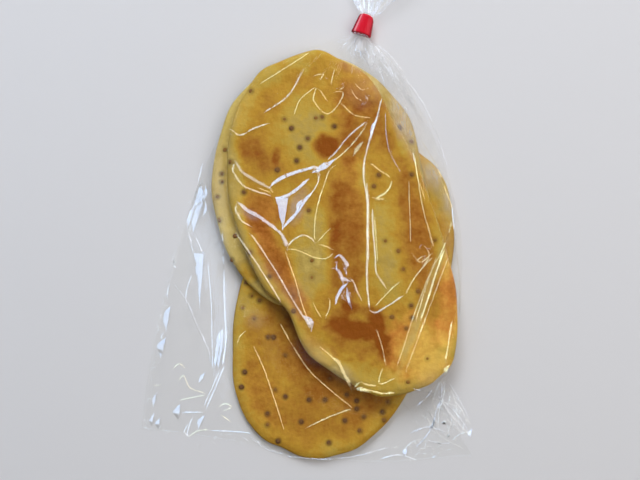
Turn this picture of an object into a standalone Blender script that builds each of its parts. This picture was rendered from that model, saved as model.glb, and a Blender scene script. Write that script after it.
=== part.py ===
"""Clear film bag of large fried dough sheets, lying on its back, with its neck gathered in red tape.

The bag is one closed solid: its film and the stack of sheets inside it. The film is draped over the
stack, lies flat in two empty corners, draws in to a gathered neck and opens again as a pleated ruffle.
+X runs across the bag, +Y runs from the bottom seam towards the neck, +Z is up. The origin is on the
surface the bag lies on, under the middle of its length and width.
"""

from collections import namedtuple
from math import cos, pi, radians, sin

import bmesh
import bpy
import numpy as np

MM = 0.001

# ---- the stack of sheets, in mm ---------------------------------------------------------------
SHEET_THICKNESS = 3.2
SHEET_ROUNDNESS = 2.3  # power of the superellipse outline, 2 is an ellipse
SHEET_RIM = 0.05       # the rim rounds off over this share of the half-width, in and out
FILM_CLEARANCE = 0.8   # film stands this far above the sheets that carry it

# heading: degrees clockwise from +Y.  egg: how much wider the far end is.  bend: sideways bow at the
# ends.  base: underside height at the middle.  dome and curl lift the middle and the rim.  lean: rise
# per mm towards the sheet's own left side.
Sheet = namedtuple("Sheet", "x y heading half_length half_width egg bend base dome curl lean")
SHEETS = {
    "bottom": Sheet(18.2, -48.6, 18.2, 86.6, 51.9, 0.01, 1.5, 0.6, 0.0, 2.4, 0.0),
    "middle": Sheet(9.0, -7.4, -13.6, 83.0, 55.4, 0.02, 4.9, 5.2, 0.4, 1.2, 0.0),
    "top": Sheet(17.4, -13.7, -21.1, 92.2, 49.4, 0.08, 8.1, 11.8, 2.0, 0.0, 0.035),
}

# ---- the bag, in mm ---------------------------------------------------------------------------
SEAM_THICKNESS = 0.8   # two films and the seal between them
FILM_SAG = 0.022       # curvature the loose film takes between its supports, per mm
WALL_HEIGHT = 20.0     # close to the bag's edge the film climbs towards this height
WALL_RUN = 2.8         # and covers most of it within this distance

# how far along the bag, then the left and the right edge there
Station = namedtuple("Station", "along left_x left_y right_x right_y")
BAG_EDGES = (
    Station(0.00, -87.6, -119.2, 87.6, -133.8),
    Station(0.07, -85.6, -105.9, 78.6, -117.0),
    Station(0.14, -84.0, -93.4, 70.4, -102.0),
    Station(0.26, -79.8, -70.4, 77.6, -78.4),
    Station(0.42, -73.1, -41.4, 81.6, -45.4),
    Station(0.56, -64.6, -12.4, 81.0, -14.4),
    Station(0.68, -55.0, 15.6, 74.4, 14.6),
    Station(0.78, -45.6, 36.6, 65.6, 38.0),
    Station(0.87, -36.6, 56.6, 56.4, 56.0),
    Station(0.94, -14.0, 74.6, 47.0, 71.4),
    Station(1.00, 24.0, 89.1, 32.6, 86.3),
)
SEAM_BOW = 7.6         # the bottom seam bulges this far beyond a straight line, right of its middle
SEAM_BOW_SKEW = 1.5

SEAM_BOW_REACH = 0.3   # share of the bag's length over which that bulge dies out

# ---- neck, tape and ruffle, in mm -------------------------------------------------------------
NECK_X = 28.3
NECK_Y = 87.7
NECK_HEADING = 18.0    # degrees clockwise from +Y
NECK_CENTRE_HEIGHT = 4.4
NECK_HALF_WIDTH = 4.5
NECK_HALF_HEIGHT = 2.6
NECK_TOP_HALF_WIDTH = 2.9
NECK_TOP_HALF_HEIGHT = 2.2
NECK_EDGE_HALF = 0.4   # half-height left at the neck's two sides
ROUNDING_START = 0.75  # from this share of the bag's length its rows crowd like a circle's
LIFT_START = 0.86      # the underside is flat up to here, then lifts to the neck
SHOULDER_START = 0.84  # pleats run from here into the neck
SHOULDER_DEPTH = 0.9
PLEATS = 6
TAPE_LENGTH = 9.2
TAPE_START = 0.8       # from the neck's lower end to the tape
TAPE_THICKNESS = 0.7
TAPE_GAP = 0.3         # between the gathered film and the tape
NECK_LENGTH = TAPE_LENGTH + 2.0 * TAPE_START
RUFFLE_LENGTH = 32.0
RUFFLE_SPREAD = 22.0   # half-width that the ruffle gains beyond the neck's own
RUFFLE_OPENING = 0.72  # power of the opening, below 1 opens at once like a trumpet
RUFFLE_ARC = 6.0       # the middle of the ruffle's end stands this far beyond its corners
RUFFLE_PLEAT_DEPTH = 2.6
RUFFLE_PLEATED = 0.7   # share of the ruffle's length at which its pleats are at full depth
RUFFLE_FLATTENED = 0.25  # and at which its round section has become a thin skin
RUFFLE_RISE = 2.4
RUFFLE_THICKNESS = 0.9

# ---- fineness ---------------------------------------------------------------------------------
COLUMNS = 40
EDGE_CROWDING = 0.35   # 0 spaces the columns evenly, 1 crowds them at the edges as on a circle
BODY_ROWS = 40
SEAM_CROWDING = 1.15   # above 1 crowds the rows near the seam
NECK_ROWS = 4
RUFFLE_ROWS = 7
RUFFLE_CROWDING = 1.4  # above 1 crowds the rows where the ruffle opens
TAPE_SIDES = 24
TAPE_ROWS = 3
RELAX_ROUNDS = 3000


def smooth(low, high, value):
    """0 below low, 1 above high, and a smooth S between them."""
    t = np.clip((value - low) / (high - low), 0.0, 1.0)
    return t * t * (3.0 - 2.0 * t)


def sheet_radius(sheet, x, y):
    """Superellipse radius of a point on a sheet: 0 in the middle and 1 on the outline."""
    turn = radians(sheet.heading)
    along = (x - sheet.x) * sin(turn) + (y - sheet.y) * cos(turn)
    across = (x - sheet.x) * cos(turn) - (y - sheet.y) * sin(turn)
    reach = along / sheet.half_length
    across = across - sheet.bend * reach ** 2
    half_width = sheet.half_width * (1.0 + sheet.egg * reach)
    power = SHEET_ROUNDNESS
    radius = (np.abs(reach) ** power + np.abs(across / half_width) ** power) ** (1.0 / power)
    return radius, across


def stack_height(x, y):
    """Height of the film where it lies on the sheets, and 0 where there is no sheet."""
    height = np.zeros_like(x)
    for sheet in SHEETS.values():
        radius, across = sheet_radius(sheet, x, y)
        top = sheet.base + SHEET_THICKNESS + sheet.dome * (1.0 - radius ** 2)
        top = top + sheet.curl * radius ** 4 - sheet.lean * across + FILM_CLEARANCE
        top = top * (1.0 - smooth(1.0 - SHEET_RIM, 1.0 + SHEET_RIM, radius))
        height = np.maximum(height, top)
    return height


def edge_curves(along):
    """Left and right edge of the bag at each share of its length, smooth through the stations."""
    knots = np.array([station.along for station in BAG_EDGES])
    points = np.array([station[1:] for station in BAG_EDGES])
    slopes = np.gradient(points, knots, axis=0)
    k = np.clip(np.searchsorted(knots, along, side="right") - 1, 0, len(knots) - 2)
    span = (knots[k + 1] - knots[k])[:, None]
    t = ((along - knots[k]) / (knots[k + 1] - knots[k]))[:, None]
    start = (1.0 + 2.0 * t) * (1.0 - t) ** 2 * points[k]
    start_slope = t * (1.0 - t) ** 2 * span * slopes[k]
    end = t ** 2 * (3.0 - 2.0 * t) * points[k + 1]
    end_slope = t ** 2 * (t - 1.0) * span * slopes[k + 1]
    edges = start + start_slope + end + end_slope
    return edges[:, :2], edges[:, 2:]


def column_shares(crowding):
    """Shares of the width for a row's columns: even, or crowded at both edges as on a circle."""
    even = np.linspace(0.0, 1.0, COLUMNS + 1)
    rounded = (1.0 - np.cos(pi * even)) / 2.0
    return (1.0 - crowding) * even + crowding * rounded


def body_plan():
    """Plan positions of the bag's body, a row of columns from edge to edge at each share along it."""
    along = np.linspace(0.0, 1.0, BODY_ROWS + 1) ** SEAM_CROWDING
    left, right = edge_curves(along)
    rounding = smooth(ROUNDING_START, 1.0, along)
    share = column_shares((EDGE_CROWDING + (1.0 - EDGE_CROWDING) * rounding)[:, None])
    x = left[:, 0:1] + share * (right[:, 0:1] - left[:, 0:1])
    y = left[:, 1:2] + share * (right[:, 1:2] - left[:, 1:2])
    skewed = np.clip(np.sin(pi * share ** SEAM_BOW_SKEW), 0.0, 1.0) ** SEAM_BOW_SKEW
    y = y - SEAM_BOW * skewed * (1.0 - smooth(0.0, SEAM_BOW_REACH, along))[:, None]
    return along, share, x, y


def neck_section(share, half_height):
    """Half-height of the flattened round neck at each share of its width."""
    arch = np.sqrt(np.clip(1.0 - (2.0 * share - 1.0) ** 2, 0.0, 1.0))
    return NECK_EDGE_HALF + (half_height - NECK_EDGE_HALF) * arch


def edge_wall(share, x, y):
    """Greatest height that the film can have at its distance from the side edges and the seam."""
    width = np.hypot(x[:, -1] - x[:, 0], y[:, -1] - y[:, 0])[:, None]
    from_side = width * np.minimum(share, 1.0 - share)
    from_seam = np.hypot(x - x[0], y - y[0])
    distance = np.minimum(from_side, from_seam)
    return SEAM_THICKNESS + WALL_HEIGHT * (1.0 - np.exp(-distance / WALL_RUN))


def relax_film(resting, x, y):
    """Film heights over what it rests on: each free point takes the sagging mean of its neighbours.

    The mean is weighted by the inverse square of the spacing, so the film pulls alike both ways, and
    no point goes below its resting height. The outer rows and columns are held.
    """
    step_across = np.hypot(np.gradient(x, axis=1), np.gradient(y, axis=1))
    step_along = np.hypot(np.gradient(x, axis=0), np.gradient(y, axis=0))
    pull_across = 1.0 / step_across[1:-1, 1:-1] ** 2
    pull_along = 1.0 / step_along[1:-1, 1:-1] ** 2
    total = 2.0 * (pull_across + pull_along)
    top = resting.copy()
    for _ in range(RELAX_ROUNDS):
        sideways = top[1:-1, :-2] + top[1:-1, 2:]
        endways = top[:-2, 1:-1] + top[2:, 1:-1]
        level = (pull_across * sideways + pull_along * endways - FILM_SAG) / total
        top[1:-1, 1:-1] = np.maximum(resting[1:-1, 1:-1], level)
    return top


def body_heights(along, share, x, y):
    """Top and underside of the body: film draped over the stack, flat below, round at the neck."""
    lift = smooth(LIFT_START, 1.0, along)[:, None]
    middle = (1.0 - lift) * 0.5 * SEAM_THICKNESS + lift * NECK_CENTRE_HEIGHT
    half = (1.0 - lift) * 0.5 * SEAM_THICKNESS + lift * neck_section(share, NECK_HALF_HEIGHT)
    under = np.maximum(middle - half, 0.0)
    stack = np.minimum(stack_height(x, y), edge_wall(share, x, y))
    top = relax_film(np.maximum(stack, middle + half), x, y)
    pleated = smooth(SHOULDER_START, 1.0, along) * (1.0 - along) / (1.0 - SHOULDER_START)
    arch = np.sin(pi * share)
    top = top + 4.0 * SHOULDER_DEPTH * pleated[:, None] * arch * np.cos(2.0 * pi * PLEATS * share)
    return top, under


def taper(distance):
    """Half-width and half-height of the neck at a distance from its lower end."""
    closed = np.clip(distance / NECK_LENGTH, 0.0, 1.0)
    half_width = NECK_HALF_WIDTH + (NECK_TOP_HALF_WIDTH - NECK_HALF_WIDTH) * closed
    half_height = NECK_HALF_HEIGHT + (NECK_TOP_HALF_HEIGHT - NECK_HALF_HEIGHT) * closed
    return half_width, half_height


def tail_rows():
    """Plan, top and underside of the neck inside the tape and of the pleated ruffle beyond it."""
    through = np.linspace(0.0, 1.0, NECK_ROWS + 1)[1:]
    opening = np.linspace(0.0, 1.0, RUFFLE_ROWS + 1)[1:] ** RUFFLE_CROWDING
    distance = np.concatenate([through * NECK_LENGTH, NECK_LENGTH + opening * RUFFLE_LENGTH])[:, None]
    opened = np.concatenate([0.0 * through, opening])[:, None]
    flattened = smooth(0.0, RUFFLE_FLATTENED, opened)
    share = column_shares(1.0 - flattened)
    side = 2.0 * share - 1.0
    half_width, half_height = taper(distance)
    turn = radians(NECK_HEADING)
    outward = distance + RUFFLE_ARC * opened * (1.0 - side ** 2)
    sideways = (half_width + RUFFLE_SPREAD * opened ** RUFFLE_OPENING) * side
    x = NECK_X + outward * sin(turn) + sideways * cos(turn)
    y = NECK_Y + outward * cos(turn) - sideways * sin(turn)
    depth = RUFFLE_PLEAT_DEPTH * smooth(0.0, RUFFLE_PLEATED, opened)
    middle = NECK_CENTRE_HEIGHT + RUFFLE_RISE * opened + depth * np.cos(2.0 * pi * PLEATS * share)
    half = (1.0 - flattened) * neck_section(share, half_height) + flattened * 0.5 * RUFFLE_THICKNESS
    return x, y, middle + half, middle - half


def add_skin(bm, top, under):
    """Close a top grid and an underside grid; the underside's flat rows share one face."""
    rows, columns = top.shape[:2]
    last_flat = int(np.flatnonzero(np.all(under[:, :, 2] < 1e-9, axis=1))[-1])
    top_verts = [[bm.verts.new(point) for point in row] for row in top]
    under_verts = []
    for i, row in enumerate(under):
        wanted = (0, columns - 1) if 0 < i < last_flat else range(columns)
        under_verts.append({j: bm.verts.new(row[j]) for j in wanted})
    for i in range(rows - 1):
        near, far = top_verts[i], top_verts[i + 1]
        for j in range(columns - 1):
            bm.faces.new((near[j], near[j + 1], far[j + 1], far[j]))
        for j in (0, columns - 1):
            bm.faces.new((near[j], far[j], under_verts[i + 1][j], under_verts[i][j]))
    for i in range(last_flat, rows - 1):
        near, far = under_verts[i], under_verts[i + 1]
        for j in range(columns - 1):
            bm.faces.new((near[j], far[j], far[j + 1], near[j + 1]))
    for i in (0, rows - 1):
        for j in range(columns - 1):
            bm.faces.new((top_verts[i][j], top_verts[i][j + 1], under_verts[i][j + 1], under_verts[i][j]))
    seam = [under_verts[0][j] for j in range(columns)]
    right = [under_verts[i][columns - 1] for i in range(1, last_flat)]
    lifted = [under_verts[last_flat][j] for j in reversed(range(columns))]
    left = [under_verts[i][0] for i in reversed(range(1, last_flat))]
    bm.faces.new(seam + right + lifted + left)


def plain_material(name, colour, roughness):
    """Plain colour for a sub-part."""
    material = bpy.data.materials.new(name)
    material.use_nodes = True
    shader = material.node_tree.nodes["Principled BSDF"]
    shader.inputs["Base Color"].default_value = (*colour, 1.0)
    shader.inputs["Roughness"].default_value = roughness
    shader.inputs["Metallic"].default_value = 0.0
    return material


def add_object(name, bm, material):
    """Turn a bmesh into a named object with consistent outward faces."""
    bmesh.ops.recalc_face_normals(bm, faces=bm.faces)
    mesh = bpy.data.meshes.new(name)
    bm.to_mesh(mesh)
    bm.free()
    mesh.materials.append(material)
    obj = bpy.data.objects.new(name, mesh)
    bpy.context.scene.collection.objects.link(obj)
    return obj


def build_bag():
    """The filled bag, from its bottom seam to the end of its ruffle."""
    along, share, x, y = body_plan()
    top, under = body_heights(along, share, x, y)
    tail_x, tail_y, tail_top, tail_under = tail_rows()
    x = np.vstack([x, tail_x])
    y = np.vstack([y, tail_y])
    top = np.vstack([top, tail_top])
    under = np.vstack([under, tail_under])
    bm = bmesh.new()
    add_skin(bm, np.stack([x, y, top], axis=2) * MM, np.stack([x, y, under], axis=2) * MM)
    return add_object("bag", bm, plain_material("film", (0.80, 0.62, 0.30), 0.2))


def tape_ring(bm, distance, skin):
    """One flattened ring of vertices round the neck, a skin's thickness outside it."""
    turn = radians(NECK_HEADING)
    half_width, half_height = taper(distance)
    ring = []
    for side in range(TAPE_SIDES):
        angle = 2.0 * pi * side / TAPE_SIDES
        sideways = (half_width + skin) * cos(angle)
        x = NECK_X + distance * sin(turn) + sideways * cos(turn)
        y = NECK_Y + distance * cos(turn) - sideways * sin(turn)
        z = NECK_CENTRE_HEIGHT + (half_height + skin) * sin(angle)
        ring.append(bm.verts.new((x * MM, y * MM, z * MM)))
    return ring


def build_tape():
    """The band of tape: a flattened sleeve that narrows towards the ruffle."""
    bm = bmesh.new()
    distances = [TAPE_START + TAPE_LENGTH * row / TAPE_ROWS for row in range(TAPE_ROWS + 1)]
    rings = [tape_ring(bm, distance, TAPE_GAP) for distance in distances]
    rings += [tape_ring(bm, distance, TAPE_GAP + TAPE_THICKNESS) for distance in reversed(distances)]
    for ring, following in zip(rings, rings[1:] + rings[:1]):
        for side in range(TAPE_SIDES):
            across = (side + 1) % TAPE_SIDES
            bm.faces.new((ring[side], ring[across], following[across], following[side]))
    return add_object("neck_tape", bm, plain_material("tape", (0.62, 0.02, 0.04), 0.3))


def main():
    """Clear the file and build both sub-parts."""
    for obj in list(bpy.data.objects):
        bpy.data.objects.remove(obj, do_unlink=True)
    build_bag()
    build_tape()


main()
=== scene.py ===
"""Dresses the clear bag of fried dough sheets: film with its folds, three sheets with seeds, red tape.

Laid out as a Blender add-on. Lengths inside the functions are millimetres in the object's own frame:
+X across the bag, +Y from the bottom seam to the neck, +Z up, z = 0 under the bag.
"""

from collections import namedtuple
from math import cos, pi, radians, sin

import bpy
import numpy as np
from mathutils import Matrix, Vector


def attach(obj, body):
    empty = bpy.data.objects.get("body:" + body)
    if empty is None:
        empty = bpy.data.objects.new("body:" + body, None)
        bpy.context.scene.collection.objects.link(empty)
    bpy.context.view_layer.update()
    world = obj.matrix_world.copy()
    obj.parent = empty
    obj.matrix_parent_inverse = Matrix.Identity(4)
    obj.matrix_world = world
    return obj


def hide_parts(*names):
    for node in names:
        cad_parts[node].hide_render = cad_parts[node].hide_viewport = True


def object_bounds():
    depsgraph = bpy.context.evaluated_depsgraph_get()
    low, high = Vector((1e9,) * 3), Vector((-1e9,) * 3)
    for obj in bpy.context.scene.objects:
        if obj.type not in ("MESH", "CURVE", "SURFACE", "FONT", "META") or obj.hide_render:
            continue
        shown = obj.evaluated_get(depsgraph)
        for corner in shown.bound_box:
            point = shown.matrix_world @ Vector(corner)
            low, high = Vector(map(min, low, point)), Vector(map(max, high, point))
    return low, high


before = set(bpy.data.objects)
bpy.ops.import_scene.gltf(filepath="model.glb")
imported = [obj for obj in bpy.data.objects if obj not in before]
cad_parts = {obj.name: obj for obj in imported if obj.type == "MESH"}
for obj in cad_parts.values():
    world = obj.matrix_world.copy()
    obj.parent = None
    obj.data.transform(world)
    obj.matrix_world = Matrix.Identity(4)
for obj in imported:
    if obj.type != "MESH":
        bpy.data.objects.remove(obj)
CAD_BOX = [list(corner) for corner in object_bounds()]

bl_info = {
    "name": "Bag of Fried Dough Sheets",
    "version": (1, 0, 0),
    "blender": (4, 5, 0),
    "location": "View3D > Sidebar > Dough Bag",
    "description": "Clear bag with three seeded fried dough sheets, its folds, tape and ruffle",
    "category": "Add Mesh",
}

MM = 0.001
BODY = "root"

# ---- placing field: folds, browning and seeds are placed on a field of 640 by 480 steps ----
FIELD_STEP = 0.52        # mm for each step of the field
FIELD_X = 306.5          # step that lies on x = 0
FIELD_Y = 202.73         # step that lies on y = 0, counted downwards
FIELD_WIDTH = 640

# ---- sheets, in mm, as in the solid model ----
Sheet = namedtuple("Sheet", "name x y heading half_length half_width egg bend base dome curl lean warp seed")
SHEETS = {
    "bottom": Sheet("bottom", 18.2, -48.6, 18.2, 86.6, 51.9, 0.01, 1.5, 0.6, 0.0, 1.0, 0.0, 0.35, 3),
    "middle": Sheet("middle", 9.0, -7.4, -13.6, 83.0, 55.4, 0.02, 4.9, 5.2, 0.4, 1.2, 0.0, 0.55, 5),
    "top": Sheet("top", 17.4, -13.7, -21.1, 92.2, 49.4, 0.08, 8.1, 11.8, 2.0, 0.0, 0.035, 0.9, 11),
}
SHEET_THICKNESS = 3.2
SHEET_ROUNDNESS = 2.3
OUTLINE_WAVES = ((5, 0.004), (8, 0.005), (13, 0.004), (21, 0.002))
# places where an outline runs inside (below 0) or outside its oval: angle from the far end, clockwise,
# reach in radians, and share of the radius
Bulge = namedtuple("Bulge", "angle reach share")
BULGES = {
    "bottom": (),
    "middle": (
        Bulge(-2.55, 0.60, -0.36), Bulge(2.9, 0.50, -0.20), Bulge(1.12, 0.22, 0.045),
        Bulge(-0.82, 0.25, -0.02)),
    "top": (
        Bulge(-1.92, 0.15, -0.10), Bulge(-2.16, 0.10, 0.02), Bulge(1.10, 0.22, -0.06),
        Bulge(0.56, 0.16, -0.03)),
}
RIM_START = 0.955        # the rim is a quarter round from this radius
RIM_WIDTH = 0.045
RIM_FALL = 0.97          # and falls by this much of a full one
LIP_HEIGHT = 0.5
LIP_RISE = (0.86, 0.93)  # radii over which the raised lip sets in and ends
LIP_FALL = (0.95, 1.0)
SHEET_LOWEST = 0.12      # no underside lies lower

# ---- layers of noise: first seed, then size in mm and height in mm or share of each layer ----
WARPS = (0, (34.0, 1.0), (13.0, 0.35))
PUFFS = (7, (5.5, 0.22), (2.6, 0.12))
MOTTLES = (31, (16.0, 0.10), (6.0, 0.07))
RIM_WAVER = (33, (9.0, 0.02))
ORANGE_WAVER = (34, (8.0, 0.15))
BACK_CLOUDS = (41, (26.0, 0.30), (8.0, 0.12))
PATCH_WAVER = (77, (7.0, 0.20), (2.8, 0.13))
FOLD_WAVER = (91, (4.0, 0.25))
FILM_DENTS = (92, (11.0, 0.16), (4.5, 0.08))
NOISE_LATTICE = 64

# ---- the bag, in mm, as in the solid model ----
FILM_EDGE = 0.12
FILM_SAG = 0.042
FILM_CLEARANCE = 0.8     # the film hangs this far above the sheets
LEAST_CLEARANCE = 0.62   # dents and pleats never bring it nearer than this
# radii of a sheet between which its hold on the film ends: resting height, least height, warm gloss
DRAPE_DROP = (0.985, 1.05)
LEAST_DROP = (1.01, 1.03)
WARM_DROP = (0.97, 1.03)
WARM_HEIGHT = 3.0        # mm of height over which the warm gloss sets in
DENT_START = 6.0         # mm from the film's edge over which the dents set in
HELD_EDGE = 0.6          # mm from its edge over which the least height sets in
FILM_SHEEN = 0.28
SHEEN_LEVEL = 0.6        # the sheen is this share of it plus long streaks
SHEEN_STREAKS = 0.5
SHEEN_SIZE = 3.0
SHEEN_SEED = 94
SHEEN_STRETCH = 0.14
FILM_WARMTH = 0.85
BACK_WHITE_LAYER = 0.3          # share of the white layer, haze and painted light, on the film's underside
BACK_SHEEN = 0.2
WALL_HEIGHT = 20.0
WALL_RUN = 2.8
Station = namedtuple("Station", "along left_x left_y right_x right_y")
BAG_EDGES = (
    Station(0.00, -87.6, -119.2, 87.6, -133.8),
    Station(0.07, -85.6, -105.9, 78.6, -117.0),
    Station(0.14, -84.0, -93.4, 70.4, -102.0),
    Station(0.26, -79.8, -70.4, 77.6, -78.4),
    Station(0.42, -73.1, -41.4, 81.6, -45.4),
    Station(0.56, -64.6, -12.4, 81.0, -14.4),
    Station(0.68, -55.0, 15.6, 74.4, 14.6),
    Station(0.78, -45.6, 36.6, 65.6, 38.0),
    Station(0.87, -36.6, 56.6, 56.4, 56.0),
    Station(0.94, -14.0, 74.6, 47.0, 71.4),
    Station(1.00, 24.0, 89.1, 32.6, 86.3),
)
SEAM_BOW = 7.6
SEAM_BOW_SKEW = 1.5
SEAM_BOW_REACH = 0.3
NECK_X = 28.3
NECK_Y = 87.7
NECK_HEADING = 18.0
NECK_CENTRE_HEIGHT = 4.4
NECK_HALF_WIDTH = 4.5
NECK_HALF_HEIGHT = 2.6
NECK_TOP_HALF_WIDTH = 2.9
NECK_TOP_HALF_HEIGHT = 2.2
NECK_EDGE_HALF = 0.4
ROUNDING_START = 0.75
LIFT_START = 0.86
SHOULDER_START = 0.84
SHOULDER_DEPTH = 0.9
PLEATS = 6
SHOULDER_WAVES = ((2.2, PLEATS, 0.0), (0.4, 15, 1.0))  # height, how many, where the first starts
TAPE_LENGTH = 9.2
TAPE_START = 0.8
TAPE_THICKNESS = 0.7
TAPE_GAP = 0.3
TAPE_BOW = 1.5           # how far the band's upper edge bows towards the ruffle
TAPE_BOW_LOW = 0.35      # share of the bow at its lower edge
TAPE_SHIFT = 0.5         # how far the whole band lies towards the bag
TAPE_FLUTES = 9.0
TAPE_FLUTE_TURN = 1.2
TAPE_FLUTE_HEIGHT = 0.10
TAPE_FLUTE_LOW = 0.4     # share of the flutes' height at the lower edge
TAPE_SQUARENESS = 0.92   # below 1 its section is fuller than a round
TAPE_ROUND_OFF = 0.25    # the band's edges are rounded by this much
TAPE_ROUND_SHARE = 0.22
TAPE_HIGHLIGHT_ANGLE = 2.28         # angle round the neck of a painted highlight: a pale pink line along the band
TAPE_HIGHLIGHT_WIDTH = 0.11
TAPE_STEP_HEIGHT = 0.16
# angles round the neck between which the step and the doubled part of the tape set in and end; the doubled
# part's dark colour is also painted shade at the band's left edge
TAPE_STEP = ((2.05, 2.12), (2.6, 3.0))
TAPE_DOUBLED_AND_SHADED = ((2.42, 2.54), (3.4, 3.7))
TAPE_SHADED = 0.55       # painted shade: how much of the doubled colour the right side takes
TAPE_SHADED_END = (0.5, 0.9)
NECK_LENGTH = TAPE_LENGTH + 2.0 * TAPE_START
NECK_TUCK = 0.4          # how far the neck reaches back into the bag's body
NECK_RIDGES = 0.12
RUFFLE_LENGTH = 32.0
RUFFLE_SPREAD = 22.0
RUFFLE_OPENING = 0.72
RUFFLE_ARC = 6.0
RUFFLE_PLEAT_DEPTH = 2.6
RUFFLE_PLEATED = 0.7
RUFFLE_RISE = 2.4
RUFFLE_LEAN = 2.0
RUFFLE_ROW_POWER = 1.25  # crowds its rows towards the neck
RUFFLE_FLAT_FROM = 0.25  # share of the ruffle over which the round neck flattens
RUFFLE_WAVER = 0.5
RUFFLE_WAVER_SHIFT = 1.6
RUFFLE_WAVER_SHARE = 0.5
# noises of the ruffle: steps across, steps along, seed
RUFFLE_WAVERS = (24.0, 3.0, 51)
RUFFLE_LOOSENESS = (9.0, 5.0, 52)
RUFFLE_STREAKS = (46.0, 1.2, 53)
RUFFLE_WARMTHS = (30.0, 1.5, 54)
# pleats: height, count for each main pleat, where the first starts, how far they drift outwards
RUFFLE_PLEATS = ((1.0, 1.0, 0.0, 0.0), (0.22, 2.0, 0.8, 0.0), (0.30, 2.3, 2.0, 1.5))
RUFFLE_PLEAT_SHARE = 0.75
FINE_PLEATS = 13.0
FINE_PLEAT_HEIGHT = 0.32
FINE_PLEAT_WAVER = 3.0
RUFFLE_GAP = 0.25        # half the gap between the ruffle's skins, and how it opens outwards
RUFFLE_GAP_OPEN = 0.9
RUFFLE_LOWEST = 0.2
RUFFLE_SHEEN = 1.4
RUFFLE_SHEEN_LEVEL = 0.85  # the sheen is this share of it plus streaks, and never below its least share
RUFFLE_SHEEN_STREAKS = 1.1
RUFFLE_SHEEN_LEAST = 0.1
RUFFLE_WARMTH = 0.45
RUFFLE_WARM_FROM = (0.1, 0.6)
RUFFLE_HAZE = 0.06
RUFFLE_BACK_HAZE = 0.5
NECK_HAZE = 0.14
NECK_HAZE_END = 0.3
STREAK_HAZE = 0.08
BAG_WIDTH = 160.0

# ---- fineness ----
EDGE_CROWDING = 0.12
SEAM_CROWDING = 1.1
FILM_ROWS = 304          # a multiple of BACK_STRIDE
FILM_COLUMNS = 272       # a multiple of BACK_STRIDE
BACK_STRIDE = 4
FILM_LEVELS = ((38, 34, 900), (76, 68, 500), (152, 136, 250), (FILM_ROWS, FILM_COLUMNS, 90))
NECK_ROWS = 16
RUFFLE_ROWS = 90
RUFFLE_COLUMNS = 240
SHEET_ROWS = 230
SHEET_COLUMNS = 128
TAPE_SIDES = 96
TAPE_ROWS = 28
PLACE_STEPS = 12

# ---- folds of the film ----
# slope of the lit side, its width, width of the other side, how strongly it mirrors, how much the oily
# dough below warms what it mirrors, how whitish it is, which is a painted highlight that is full on its
# lit side, path as steps right and down of one point after the other; a wedge is widest where its path
# starts, and a slope below 0 makes a ledge on a steep flank, whose lit side lies above its crest
Crease = namedtuple("Crease", "slope lit dark sheen warm haze wedge path")
LIT_X = -0.25            # folds are steep towards this side, where the lights stand
LIT_Y = 0.97
FLIP = 0.06              # how gradually a curved fold hands its lit side over
FOLD_STEP = 0.5          # mm between the cross-sections of a fold
FOLD_RAMP = 4.0          # mm over which a narrow fold runs out to a point
FOLD_RAMP_WIDENING = 0.4  # how much longer the run-out is for each mm of width
FOLD_RAMP_SHARE = 0.45   # and its longest share of the fold
FOLD_TIP = 0.02          # share of its width that is left at its ends
FOLD_LIFT = 0.015        # a crest lies at least this far above the film,
FOLD_LEAST_RISE = 0.12   # plus this share of its rise
FOLD_SINK = 0.02
WEDGE_RAMP = 1.2
DARK_SHEEN = 0.35
# share of a fold's painted highlight, its white layer, that is left on its dark side
DARK_SIDE_WHITE_LAYER = 0.3
THIN = (0.45, 0.42, 0.35, 3.0, 1.0, 0.0, False)
MEDIUM = (0.45, 0.75, 0.6, 2.4, 0.6, 0.0, False)
BOLD = (0.45, 1.6, 0.9, 2.2, 0.1, 0.15, False)
SOFT = (0.45, 1.3, 0.8, 1.5, 0.5, 0.2, False)
GOLDEN = (0.45, 0.8, 0.6, 2.8, 1.0, 0.0, False)
GOLDEN_BOLD = (0.45, 1.6, 0.9, 2.4, 1.0, 0.1, False)
GOLDEN_WIDE = (0.42, 2.1, 0.5, 2.0, 1.0, 0.1, False)
DIM = (0.45, 0.45, 0.35, 1.7, 1.0, 0.0, False)
FACET = (0.45, 3.4, 1.0, 2.0, 0.0, 0.4, False)
WEDGE = (0.42, 6.8, 0.5, 2.0, 0.0, 0.4, True)
FAINT = (0.45, 0.5, 0.4, 0.8, 0.0, 0.2, False)
PALE_THIN = (0.45, 0.38, 0.35, 2.2, 0.1, 0.0, False)
PALE = (0.45, 0.65, 0.6, 1.8, 0.1, 0.1, False)
PALE_BOLD = (0.45, 1.7, 0.9, 1.6, 0.0, 0.3, False)
PALE_GOLD = (0.45, 0.5, 0.4, 2.2, 0.8, 0.1, False)
PALE_WIDE = (0.42, 3.3, 0.8, 1.5, 0.0, 0.4, False)
PALE_WEDGE = (0.45, 5.2, 0.6, 1.6, 0.0, 0.4, True)
CORNER = (0.45, 0.42, 0.35, 1.0, 0.35, 0.0, False)
CORNER_BOLD = (0.45, 0.8, 0.6, 0.9, 0.3, 0.2, False)
LEDGE = (-0.5, 3.4, 0.5, 1.7, 0.0, 0.4, False)
LEDGE_THIN = (-0.5, 1.7, 0.4, 1.7, 0.0, 0.3, False)
CRINKLE = (0.45, 0.42, 0.9, 0.8, 0.3, 0.0, False)
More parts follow.
